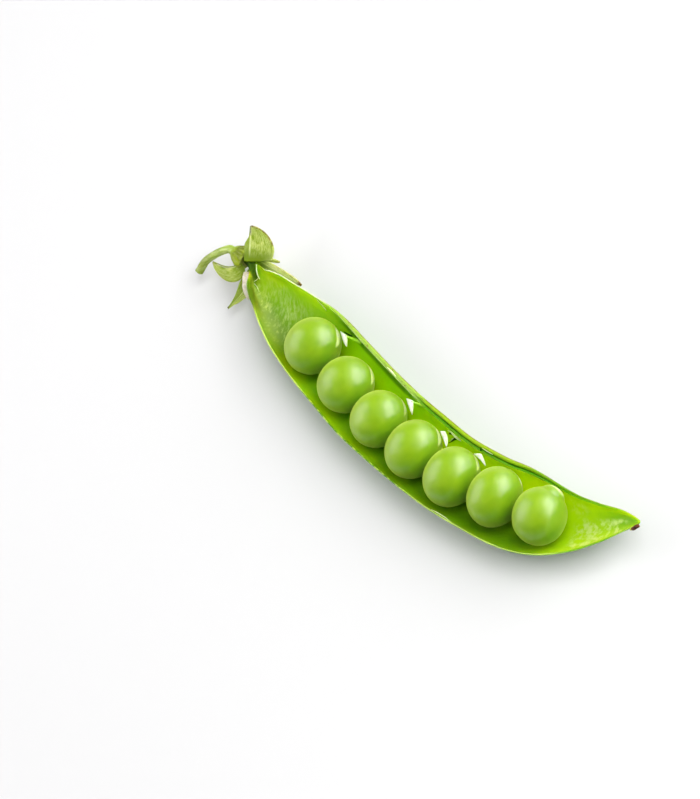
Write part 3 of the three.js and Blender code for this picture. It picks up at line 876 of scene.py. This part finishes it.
class Wires:
    """Adds nodes to a tree and links them."""

    def __init__(self, tree):
        self.tree = tree

    def add(self, kind, inputs=None, **settings):
        node = self.tree.nodes.new(kind)
        node.location = (NODE_STEP * len(self.tree.nodes), 0)
        for name, value in settings.items():
            setattr(node, name, value)
        for name, value in (inputs or {}).items():
            self.feed(node.inputs[name], value)
        return node

    def feed(self, socket, value):
        if isinstance(value, bpy.types.NodeSocket):
            self.tree.links.new(value, socket)
        else:
            socket.default_value = value

    def math(self, operation, a, b):
        return self.add("ShaderNodeMath", {0: a, 1: b}, operation=operation).outputs[0]

    def times(self, product, *others):
        for other in others:
            product = self.math("MULTIPLY", product, other)
        return product

    def most(self, a, b):
        return self.math("MAXIMUM", a, b)

    def rising(self, value, low, high, start=0.0, end=1.0):
        """start below low, end above high, and a smooth change between them."""
        return self.add("ShaderNodeMapRange", interpolation_type="SMOOTHSTEP", inputs={
            "Value": value, "From Min": low, "From Max": high, "To Min": start, "To Max": end,
        }).outputs["Result"]

    def falling(self, value, low, high):
        """1 below low, 0 above high."""
        return self.rising(value, low, high, 1.0, 0.0)

    def band(self, value, low, high, soft):
        """1 between low and high, 0 outside, with soft ends."""
        end = self.falling(value, high - soft, high + soft)
        return self.times(self.rising(value, low - soft, low + soft), end)

    def mix(self, mask, below, above):
        node = self.add("ShaderNodeMix", data_type="RGBA")
        self.feed(node.inputs["Factor"], mask)
        self.feed(node.inputs[6], below)
        self.feed(node.inputs[7], above)
        return node.outputs[2]

    def coat(self, below, above, *masks):
        """One colour with another over it, as strong as all the masks multiplied."""
        return self.mix(self.times(*masks), below, above)

    def group(self, name, **inputs):
        node = self.add("ShaderNodeGroup", node_tree=bpy.data.node_groups[name])
        for key, value in inputs.items():
            self.feed(node.inputs[key], value)
        return node.outputs[0]

    def noise(self, place, scale, detail, roughness):
        return self.add("ShaderNodeTexNoise", {
            "Vector": place, "Scale": scale, "Detail": detail, "Roughness": roughness,
        }).outputs["Fac"]


print("wires ready")


# %% Colours as a screen shows them
def colour(red, green, blue):
    """A colour given from 0 to 255 as a screen shows it, in the linear values that shaders use."""
    parts = [part / 255 for part in (red, green, blue)]
    return (*(part / 12.92 if part < 0.04 else ((part + 0.055) / 1.055) ** 2.4 for part in parts), 1.0)


def palette(**colours):
    return SimpleNamespace(**{name: colour(*parts) for name, parts in colours.items()})


print("pod green in linear values:", tuple(round(part, 3) for part in colour(120, 178, 10)))

# %% [markdown]
# ## Shared effects
# Four effects are used by more than one material: soft clouds of another tone, fine streaks in one
# direction, small freckles, and the fine relief of a waxy skin. Each is a node group, built once. Sizes are
# given in millimetres.

# %% Start a shared effect
FLOAT, VECTOR = "NodeSocketFloat", "NodeSocketVector"


def new_effect(name, output, **inputs):
    """An empty node group with named inputs and one output. Gives its wires, its inputs and its output."""
    tree = bpy.data.node_groups.new(name, "ShaderNodeTree")
    for key, value in {"Place": None, **inputs}.items():
        kind = FLOAT if isinstance(value, float) else VECTOR
        socket = tree.interface.new_socket(key, in_out="INPUT", socket_type=kind)
        if value is not None:
            socket.default_value = value
    tree.interface.new_socket(output, in_out="OUTPUT", socket_type=VECTOR if output == "Normal" else FLOAT)
    wires = Wires(tree)
    return wires, wires.add("NodeGroupInput").outputs, wires.add("NodeGroupOutput").inputs[output]


def scale_of(wires, size):
    """The scale that makes a texture's features as large as size, in millimetres."""
    return wires.math("DIVIDE", 1 / MM, size)


print("effects take", FLOAT, "and", VECTOR)

# %% Clouds
wires, given, mask = new_effect("clouds", "Mask", Size=4.0, Low=0.45, High=0.65)
cloud = wires.noise(given["Place"], scale_of(wires, given["Size"]), 4.0, 0.6)
wires.feed(mask, wires.rising(cloud, given["Low"], given["High"]))
print("clouds ready")

# %% Streaks
wires, given, mask = new_effect("streaks", "Mask", Turn=None, Stretch=(1.0, 1.0, 1.0), Low=0.45, High=0.6)
turned = wires.add("ShaderNodeMapping", {"Vector": given["Place"], "Rotation": given["Turn"]},
                   vector_type="TEXTURE").outputs[0]
drawn = wires.add("ShaderNodeVectorMath", {0: turned, 1: given["Stretch"]}, operation="MULTIPLY").outputs[0]
wires.feed(mask, wires.rising(wires.noise(drawn, 1.0, 5.0, 0.62), given["Low"], given["High"]))
print("streaks ready")

# %% Freckles
wires, given, mask = new_effect("freckles", "Mask", Size=0.5, Amount=0.3)
scale = scale_of(wires, given["Size"])
spots = wires.add("ShaderNodeTexVoronoi", {"Vector": given["Place"], "Scale": scale, "Randomness": 1.0})
patches = wires.noise(given["Place"], wires.times(scale, 0.6), 1.0, 0.5)
some = wires.rising(patches, wires.math("SUBTRACT", 0.75, given["Amount"]), 0.75)
wires.feed(mask, wires.times(wires.falling(spots.outputs["Distance"], 0.15, 0.42), some))
print("freckles ready")

# %% Waxy relief
RELIEF_HEIGHT = 0.2 * MM
wires, given, normal = new_effect("waxy relief", "Normal", Size=0.4, Depth=0.1)
grain = wires.noise(given["Place"], scale_of(wires, given["Size"]), 3.0, 0.5)
relief = wires.add("ShaderNodeBump", {"Height": grain, "Strength": given["Depth"], "Distance": RELIEF_HEIGHT})
wires.feed(normal, relief.outputs[0])
print("waxy relief ready")

# %% A material with its own wires
OPAQUE = (0, (1, 1, 1), 1)  # no light scatters under the skin


class Paint(Wires):
    """A new material. Its Principled shader gets its plain values on its own sockets. Through holds how
    much light scatters under the skin, how far each colour gets, and the scale of that in millimetres."""

    def __init__(self, name, through=OPAQUE, **shader_values):
        self.material = bpy.data.materials.new(name)
        self.material.use_nodes = True
        super().__init__(self.material.node_tree)
        self.shader = self.tree.nodes["Principled BSDF"].inputs
        for key, value in zip(("Weight", "Radius", "Scale"), (*through[:2], through[2] * MM)):
            self.shader["Subsurface " + key].default_value = value
        for key, value in shader_values.items():
            self.shader[key.replace("_", " ")].default_value = value
        self.place = self.add("ShaderNodeTexCoord").outputs["Object"]

    def clouds(self, size, low, high):
        return self.group("clouds", Place=self.place, Size=size, Low=low, High=high)

    def streaks(self, turn, stretch, low, high):
        return self.group("streaks", Place=self.place, Turn=(0, 0, turn), Stretch=stretch, Low=low, High=high)

    def freckles(self, size, amount):
        return self.group("freckles", Place=self.place, Size=size, Amount=amount)

    def grown(self):
        """How far along a grown surface a point lies, and how far across it or round it."""
        spot = self.add("ShaderNodeUVMap", uv_map="grown").outputs[0]
        return self.add("ShaderNodeSeparateXYZ", {"Vector": spot}).outputs[:2]

    def mark(self, name):
        return self.add("ShaderNodeAttribute", attribute_name=name).outputs["Fac"]

    def x_between(self, ends, start, end):
        """start before the first of two places on the pod's x axis, end after the second."""
        x = self.add("ShaderNodeSeparateXYZ", {"Vector": self.place}).outputs[0]
        return self.rising(x, *((place - ORIGIN.x) * MM for place in ends), start, end)

    def finish(self, base, grain=None, depth=0.0):
        """Feeds the colour and, with a grain, a waxy relief to the shader, and gives the material."""
        self.feed(self.shader["Base Color"], base)
        if grain:
            relief = self.group("waxy relief", Place=self.place, Size=grain, Depth=depth)
            self.feed(self.shader["Normal"], relief)
        return self.material


def two_tone(name, clouds, tone, other, through=OPAQUE, **shader_values):
    """A new material, and for it one colour with clouds of another."""
    paint = Paint(name, through, **shader_values)
    return paint, paint.mix(paint.clouds(*clouds), colour(*tone), colour(*other))


print("paint ready")

# %% [markdown]
# ## Pod skin
# One material paints the whole wall, by where the point is on the loop and along the pod. Inside, the skin is
# matt and strongly yellow-green, and light comes through it, so it scatters light under its surface. The
# lower side is painted darker, as painted shade, and the inside under the upper rim brighter, as painted
# light that comes through the wall. A papery membrane makes the hollow milky near both ends. The lower rim is
# pale, with dots of painted shade, and the upper rim is torn white at the stem, freckled further on, and has
# a painted shadow line in its groove. A painted shadow lies under the upper rim, and the neck and the stem
# end are darkened with painted shade.

# %% Colours of the pod
# The low greens, the green under the rim, the groove line and the neck's edge are painted shade, the neck is
# a darker green with painted shade in it, and the high greens are painted light.
POD = palette(
    inside=(132, 178, 2), inside_tip=(168, 206, 6), shade=(112, 166, 1), low=(50, 98, 1),
    low_far=(98, 150, 2), low_tip=(78, 126, 2), high=(182, 232, 4), high_far=(206, 251, 6),
    under_rim=(62, 126, 1), olive=(66, 88, 6), milk=(214, 224, 150), tip=(96, 150, 2), outside=(92, 154, 22),
    outside_dark=(74, 136, 14), edge=(156, 186, 88), rim=(112, 158, 16), rim_tip=(66, 116, 2),
    torn=(214, 228, 178), band=(146, 178, 70), band_brown=(112, 108, 42), groove=(104, 172, 2),
    groove_line=(30, 88, 1), lip=(132, 162, 10), lip_tip=(84, 128, 4), lip_brown=(108, 92, 30),
    neck=(60, 96, 1), neck_edge=(38, 58, 2),
)
paint = Paint("pod_skin", (1.0, (1.0, 1.0, 0.4), 3.0), Specular_IOR_Level=0.15)
mix, coat, times, most = paint.mix, paint.coat, paint.times, paint.most
rising, falling, band = paint.rising, paint.falling, paint.band
run, loop = paint.grown()
length = times(run, UV_LENGTH)  # millimetres along the pod
rim_share = paint.math("DIVIDE", paint.math("SUBTRACT", loop, INSIDE), 1 - INSIDE)
print(len(vars(POD)), "greens and browns")

# %% Paint the inside: painted shade low down, painted light high up, and brighter towards the tip
# painted shade: the lower side of the hollow, darkest near the stem
low = mix(rising(length, 12, 24), POD.low, POD.low_far)
low = mix(rising(length, 38, 44), low, POD.low_tip)
shaded_side = times(falling(loop, 0.5, 0.62), falling(length, 72, 80))
# painted light: the inside under the upper rim is brighter, as though lit through the wall
high = mix(rising(length, 36, 50), POD.high, POD.high_far)
lit_side = times(rising(loop, 0.57, 0.68), band(length, 20, 76, 4))
green = mix(rising(length, 40, 84), POD.inside, POD.inside_tip)
green = coat(green, POD.shade, paint.clouds(6.0, 0.35, 0.7), 0.45)
green = coat(green, low, shaded_side, rising(length, 0, 8, 0.6), 0.92)
green = coat(green, high, lit_side, 0.92)
green = coat(green, POD.tip, rising(length, 81, 88), rising(loop, 0.5, 0.65, 0.4, 0.9))
print("inside painted green")

# %% Paint the milky skin at both ends
strokes = paint.streaks(math.radians(-60), (800.0, 2400.0, 800.0), 0.34, 0.72)
strokes = times(strokes, rising(paint.clouds(2.5, 0.25, 0.65), 0, 1, 0.5))
strokes = most(strokes, rising(loop, 0.48, 0.62, 0.35, 0.0))
at_stem = times(band(length, 2.5, 12, 3), band(loop, LOWER_RIM + 0.05, INSIDE - 0.12, 0.06))
at_tip = times(band(length, 79, 87.5, 1.2), band(loop, LOWER_RIM + 0.07, LOWER_RIM + 0.24, 0.03))
above = times(band(length, 77.5, 81, 1), band(loop, INSIDE - 0.12, INSIDE - 0.05, 0.02), 0.5)
spots = paint.clouds(1.3, 0.42, 0.64)
milk = most(times(at_stem, strokes), times(most(at_tip, above), spots))
green = coat(green, POD.milk, milk, 0.62)
print("milky at the stem and at the tip")

# %% Paint a shadow under the upper rim, and painted shade at the lower edge of the neck's mouth
# painted shadow: a dark green strip just under the upper rim
under_rim = rising(loop, INSIDE - 0.08, INSIDE - 0.056)
green = coat(green, POD.under_rim, under_rim, band(length, 17, 40, 4), 0.75)
# painted shade: olive over the inside by the lower rim near the stem
mouth = times(falling(loop, LOWER_RIM + 0.03, LOWER_RIM + 0.09), falling(length, 4, 9))
green = coat(green, POD.olive, mouth, 0.8)
print("inside painted")

# %% Paint the outside and the lower rim
inside = band(loop, LOWER_RIM, INSIDE + 0.02, 0.008)
outside = mix(paint.clouds(3.0, 0.4, 0.62), POD.outside_dark, POD.outside)
base = mix(inside, outside, green)
edge = mix(rising(length, 5, 9), POD.olive, POD.edge)
# painted shade: dots of the low green along the lower rim, for the shade of its small waves
edge = coat(edge, POD.low, band(length, 24, 52, 4), paint.clouds(0.6, 0.42, 0.52))
edge = mix(rising(length, 76, 81), edge, POD.tip)
base = mix(band(loop, OUTSIDE + 0.01, LOWER_RIM - 0.004, 0.006), base, edge)
print("outside and lower rim painted")

# %% Paint the upper rim near the stem: plain, then torn white, then a freckled band
grooved = rising(length, GROOVE[0], GROOVE[1] - 2)
rim = mix(rising(length, 80, 85), POD.rim, POD.rim_tip)
base = mix(rising(rim_share, 0.03, 0.1), base, rim)
torn = times(rising(length, 0.5, 2), falling(length, 13, 18))
base = coat(base, POD.torn, rising(rim_share, 0.45, 0.58), torn)
freckled = times(rising(length, 15, 20), falling(grooved, 0, 1))
flecked = coat(POD.band, POD.band_brown, paint.freckles(0.7, 0.45), 0.8)
base = coat(base, flecked, rising(rim_share, 0.08, 0.16), freckled)
base = coat(base, POD.torn, band(rim_share, 0.06, 0.2, 0.04), freckled, 0.6)
print("band painted")

# %% Paint the groove with a painted shadow line in it, the lip beside it, and the brown line outside it
base = coat(base, POD.groove, band(rim_share, 0.16, 0.5, 0.04), grooved)
# painted shadow: a dark line where the lip overhangs the groove
base = coat(base, POD.groove_line, band(rim_share, 0.4, 0.52, 0.03), grooved)
lip = mix(rising(length, 62, 76), POD.lip, POD.lip_tip)
base = coat(base, lip, rising(rim_share, 0.5, 0.58), grooved)
outermost = most(rising(rim_share, 0.84, 0.92), falling(loop, 0.0, 0.03))
worn = times(paint.clouds(2.5, 0.35, 0.5), 0.85)
base = coat(base, POD.lip_brown, outermost, band(length, 16, 76, 3), worn)
print("lip painted")

# %% Darken the neck with painted shade and finish the pod
# painted shade: the neck's lower side and the edge of its mouth are darkened
neck_edge = times(falling(length, 3, 7), band(loop, 0.3, LOWER_RIM + 0.07, 0.02))
neck_shadow_side = times(falling(length, 0, 2), band(loop, 0.3, LOWER_RIM + 0.17, 0.02))
base = coat(base, POD.neck_edge, most(neck_edge, neck_shadow_side), 0.9)
# the neck: its own darker green, deepened with painted shade from the calyx above it
base = mix(paint.mark("neck"), base, POD.neck)
paint.feed(paint.shader["Roughness"], rising(inside, 0, 1, 0.55, 0.62))
wear([pod_wall], paint.finish(base, grain=0.7, depth=0.35), "pod_shell")

# %% [markdown]
# ## Pea skin
# A pea is a small bag of sap: light sinks in and comes out yellow-green, and its thin waxy skin gives a
# broad, soft highlight. Seen at a slant the wax looks paler, and sheen, which brightens a surface towards its
# outline, gives that. The scar where the stalk sat is whitish. Each pea has clouds of its own size.

# %% Paint the peas
# below is painted shade, the darker green of each pea's lower sides
PEA = palette(plain=(129, 169, 2), light=(143, 179, 22), below=(90, 150, 1), scar=(220, 236, 160))
for number, pea in enumerate(peas, 1):
    paint = Paint(f"pea_skin_{number}", (0.8, (1.0, 1.0, 0.15), 2.0), Specular_IOR_Level=0.5,
                  Sheen_Weight=0.5, Sheen_Roughness=0.45, Sheen_Tint=(0.9, 1.0, 0.2, 1.0))
    skin = paint.mix(paint.clouds(4.0 + 0.3 * number, 0.3, 0.75), PEA.plain, PEA.light)
    # painted shade on the pea's lower sides
    skin = paint.mix(paint.mark("deep"), skin, PEA.below)
    scar = paint.mark("scar")
    paint.feed(paint.shader["Roughness"], paint.rising(scar, 0, 1, 0.38, 0.6))
    skin = paint.mix(scar, skin, PEA.scar)
    wear([pea], paint.finish(skin, grain=0.9, depth=0.08), f"pea_{number}")

# %% [markdown]
# ## Skins of the small torn pieces
# The stalks are as green as the pod, and the flaps are white with a green edge at the stalk. Both are thin
# and wet, so light passes through them. The fibres are greenish white, and the slits are dark and dull,
# as painted shadow.

# %% Paint the stalks, flaps, fibres and slits
paint, tone = two_tone("stalk_skin", (0.8, 0.35, 0.65), (130, 190, 4), (164, 212, 16),
                       (0.6, (1.0, 1.0, 0.3), 0.6), Roughness=0.5)
wear(stalks, paint.finish(tone, 0.4, 0.3), "pod_shell")

paint, tone = two_tone("flap_skin", (0.7, 0.35, 0.7), (246, 248, 234), (224, 234, 196),
                       (0.5, (1.0, 1.0, 0.8), 0.4), Roughness=0.5)
tone = paint.mix(paint.rising(paint.grown()[1], 0.82, 1.0), tone, colour(196, 220, 130))
wear(flaps, paint.finish(tone, 0.4, 0.3), "pod_shell")

paint, tone = two_tone("torn_fibre_skin", (0.5, 0.3, 0.7), (222, 244, 150), (246, 252, 220),
                       Roughness=0.6, Specular_IOR_Level=0.3)
wear(fibres, paint.finish(tone), "pod_shell")

# the slits: dark, dull slivers that are painted shadow
paint, tone = two_tone("slit_shadow_skin", (0.5, 0.3, 0.7), (16, 60, 0), (50, 110, 2),
                       Roughness=0.9, Specular_IOR_Level=0.1)
wear(slits, paint.finish(tone), "pod_shell")

# %% [markdown]
# ## Leafy and dry pieces
# The lobes are matt and pale, with fine veins along them, darker at the base and brown at their edges, and
# the long outer lobe fades to straw. The stem is similar but smoother, and darker at its cut end. The strip
# of stamens is straw-white. The style is nearly black, with a yellow root where it leaves the pod.

# %% Paint the lobes
CALYX = palette(pale=(200, 208, 122), green=(134, 158, 36), base=(104, 130, 4), brown=(104, 74, 36),
                midrib=(232, 236, 184), faded=(238, 236, 168))
VEINS = {"along": 3.0, "across": 16.0, "scale": 1.6, "height": 0.15 * MM, "strength": 0.5}
FADING = (0, 4)  # x from where the outer lobe fades, and where it is most faded
paint = Paint("calyx_leaf", (0.8, (0.9, 1.0, 0.4), 0.8), Roughness=0.65, Specular_IOR_Level=0.15)
run, side = paint.grown()
spot = paint.add("ShaderNodeCombineXYZ", {
    "X": paint.times(run, VEINS["along"]), "Y": paint.times(side, VEINS["across"])}).outputs[0]
veins = paint.noise(spot, VEINS["scale"], 5.0, 0.65)
leaf = paint.mix(paint.rising(veins, 0.36, 0.6), CALYX.green, CALYX.pale)
leaf = paint.coat(leaf, CALYX.green, paint.clouds(1.0, 0.35, 0.7), 0.45)
leaf = paint.mix(paint.rising(side, 0.44, 0.49, 0.5, 0.0), leaf, CALYX.base)
leaf = paint.coat(leaf, CALYX.midrib, paint.band(side, 0.49, 0.53, 0.012), 0.6)
leaf = paint.mix(paint.falling(run, 0.04, 0.5), leaf, CALYX.base)
leaf = paint.mix(paint.x_between(FADING, 0.0, 0.55), leaf, CALYX.faded)
old = paint.times(paint.mark("age"), paint.rising(paint.clouds(0.7, 0.35, 0.6), 0, 1, 0.35))
brown = paint.most(old, paint.times(paint.freckles(0.45, 0.12), 0.35))
relief = paint.add("ShaderNodeBump", {
    "Height": veins, "Strength": VEINS["strength"], "Distance": VEINS["height"]})
paint.feed(paint.shader["Normal"], relief.outputs[0])
wear(lobes, paint.finish(paint.mix(brown, leaf, CALYX.brown)), "calyx")

# %% Paint the cup and the pedicel
STEM = palette(plain=(150, 178, 50), streak=(194, 212, 124), dark=(108, 130, 14), cut=(112, 122, 12),
               cup_streak=(176, 180, 110))
STEM_END = CAD_BOX[0][0] / MM + ORIGIN.x
CUT = (STEM_END + 0.5, STEM_END + 4)  # x where the dark of the cut end starts to fade, and where it ends
CUP_BACK = (-5.6, -4.2)  # x where the cup is still like the stem, and where it isn't any more

paint = Paint("stem_skin", (0.4, (0.8, 1.0, 0.3), 0.6), Roughness=0.5, Specular_IOR_Level=0.35)
streaks = paint.streaks(math.radians(40), (250.0, 2200.0, 2200.0), 0.4, 0.62)
tone = paint.mix(streaks, STEM.plain, STEM.streak)
tone = paint.coat(tone, STEM.dark, paint.clouds(2.0, 0.35, 0.7), 0.5)
tone = paint.mix(paint.x_between(CUT, 0.6, 0.0), tone, STEM.cut)
wear([pedicel], paint.finish(tone, 0.35, 0.4), "pedicel")

paint, tone = two_tone("cup_skin", (2.2, 0.4, 0.6), (146, 166, 20), (100, 118, 3),
                       Roughness=0.65, Specular_IOR_Level=0.1)
tone = paint.mix(paint.x_between(CUP_BACK, 1.0, 0.0), tone, STEM.plain)
tone = paint.coat(tone, STEM.cup_streak, paint.streaks(0, (300.0, 1800.0, 1800.0), 0.4, 0.62), 0.35)
wear([cup], paint.finish(tone, 0.35, 0.4), "calyx")

# %% Paint the dried pieces
paint, tone = two_tone("dry_paper", (0.9, 0.35, 0.65), (206, 196, 170), (240, 232, 216),
                       (0.3, (1.0, 0.9, 0.7), 0.4), Roughness=0.75, Specular_IOR_Level=0.2)
wear([stamens], paint.finish(tone, 0.3, 0.8), "dried_stamens")

paint, tone = two_tone("dry_style", (0.5, 0.35, 0.65), (36, 12, 6), (108, 52, 20),
                       Roughness=0.7, Specular_IOR_Level=0.3)
tone = paint.mix(paint.rising(paint.grown()[0], 0.66, 0.84), tone, colour(206, 196, 60))
wear([style], paint.finish(tone, 0.2, 1.0), "style_remnant")

# %% [markdown]
# ## Camera
# The pod is seen from above its tip end, through a long lens from 0.7 m, so that lines stay nearly parallel.
# The camera is turned about its own axis until the pod runs from upper left to lower right.

# %% Place the camera
AZIMUTH, ELEVATION, ROLL = (math.radians(angle) for angle in (-2.855, 57.0, 52.5))
TARGET = Vector((31.79, -9.60, 6.8))  # the point looked at, in the pod's own millimetres
DISTANCE, NEAREST = 0.7, 0.05  # metres to the target, and to the nearest thing that is drawn
SENSOR, FOCAL_LENGTH = 36.0, 189.24  # millimetres


def stand(thing, place, right, up, back):
    """Puts a camera or a lamp at a place, with its own axes along the three directions."""
    thing.matrix_world = Matrix.Translation(place) @ Matrix((right, up, back)).transposed().to_4x4()


horizontal = Vector((math.cos(AZIMUTH), math.sin(AZIMUTH), 0))
outwards = horizontal * math.cos(ELEVATION) + Vector((0, 0, math.sin(ELEVATION)))
level = Vector((0, 0, 1)).cross(outwards).normalized()
upright = outwards.cross(level)
image_right = level * math.cos(ROLL) - upright * math.sin(ROLL)
image_up = level * math.sin(ROLL) + upright * math.cos(ROLL)
target = (TARGET - ORIGIN) * MM
camera = bpy.data.objects.new("camera", bpy.data.cameras.new("camera"))
bpy.context.scene.collection.objects.link(camera)
bpy.context.scene.camera = camera
camera.data.sensor_width, camera.data.lens = SENSOR, FOCAL_LENGTH
camera.data.clip_start = NEAREST
stand(camera, target + outwards * DISTANCE, image_right, image_up, outwards)
print("camera at", tuple(round(c, 3) for c in camera.location))

# %% [markdown]
# ## Floor and light
# The floor is plain and nearly white. In Cycles a lamp can be told to light only matt colour or only gloss,
# so shape and highlights are set apart. Three softboxes give the shape: a key from the upper right, a broad
# one near the camera and a fill from the left. Five more are seen only in the gloss, and draw the tall soft
# highlights right and left on each pea.

# %% Floor
FLOOR_SIZE, FLOOR_GREY = 1.5, 0.72
bm = bmesh.new()
bmesh.ops.create_grid(bm, x_segments=1, y_segments=1, size=FLOOR_SIZE)
floor = finish_mesh("floor", bm)
paint = Paint("floor_paint", Base_Color=(FLOOR_GREY, FLOOR_GREY, FLOOR_GREY, 1), Roughness=0.8,
              Specular_IOR_Level=0.2)
floor.data.materials.append(paint.material)

# %% Lights
LIGHT_DISTANCE = 0.6  # metres from the target
SHINE = (1.0, 0.87, 1.06)  # the colour of the lamps that light only gloss


def softbox(name, right, up, wide, high, brightness, shape=True, shine=True):
    """A softbox as many degrees to the right and up from the camera, and as wide and high, as it is told.
    One that gives no shape lights only gloss, and one that gives no shine lights only matt colour."""
    turn, tilt = math.radians(right), math.radians(up)
    level_part = image_right * math.sin(turn) + outwards * math.cos(turn)
    towards = level_part * math.cos(tilt) + image_up * math.sin(tilt)
    light = bpy.data.lights.new(name, "AREA")
    light.shape = "RECTANGLE"
    sizes = (2 * LIGHT_DISTANCE * math.tan(math.radians(angle / 2)) for angle in (wide, high))
    light.size, light.size_y = sizes
    light.energy = math.pi * light.size * light.size_y * brightness
    light.color = (1, 1, 1) if shape else SHINE
    lamp = bpy.data.objects.new(name, light)
    bpy.context.scene.collection.objects.link(lamp)
    side = image_up.cross(towards).normalized()
    stand(lamp, target + towards * LIGHT_DISTANCE, side, towards.cross(side), towards)
    lamp.visible_diffuse, lamp.visible_glossy = shape, shine
    print(name, "is", round(lamp.location.z / MM), "mm above the floor")


softbox("key", 56, 52, 36, 40, 3.8, shine=False)
softbox("front", 14, 20, 50, 45, 6.0, shine=False)
softbox("left_fill", -88, 2, 36, 60, 3.7, shine=False)
softbox("right_shine", 56, 26, 36, 60, 10.0, shape=False)
softbox("side_shine", 79, 46, 24, 50, 3.5, shape=False)
softbox("front_shine", 28, 35, 30, 70, 1.2, shape=False)
softbox("left_shine", -78, 20, 52, 66, 3.7, shape=False)
softbox("wide_shine", -70, 0, 90, 90, 0.4, shape=False)

# %% Surroundings
world = bpy.data.worlds.new("studio")
bpy.context.scene.world = world
world.use_nodes = True
world.node_tree.nodes["Background"].inputs["Color"].default_value = (1, 1, 1, 1)
world.node_tree.nodes["Background"].inputs["Strength"].default_value = 0.03
world.cycles_visibility.glossy = False
bpy.context.scene.view_settings.view_transform = "Standard"
print("surroundings set")

# %% [markdown]
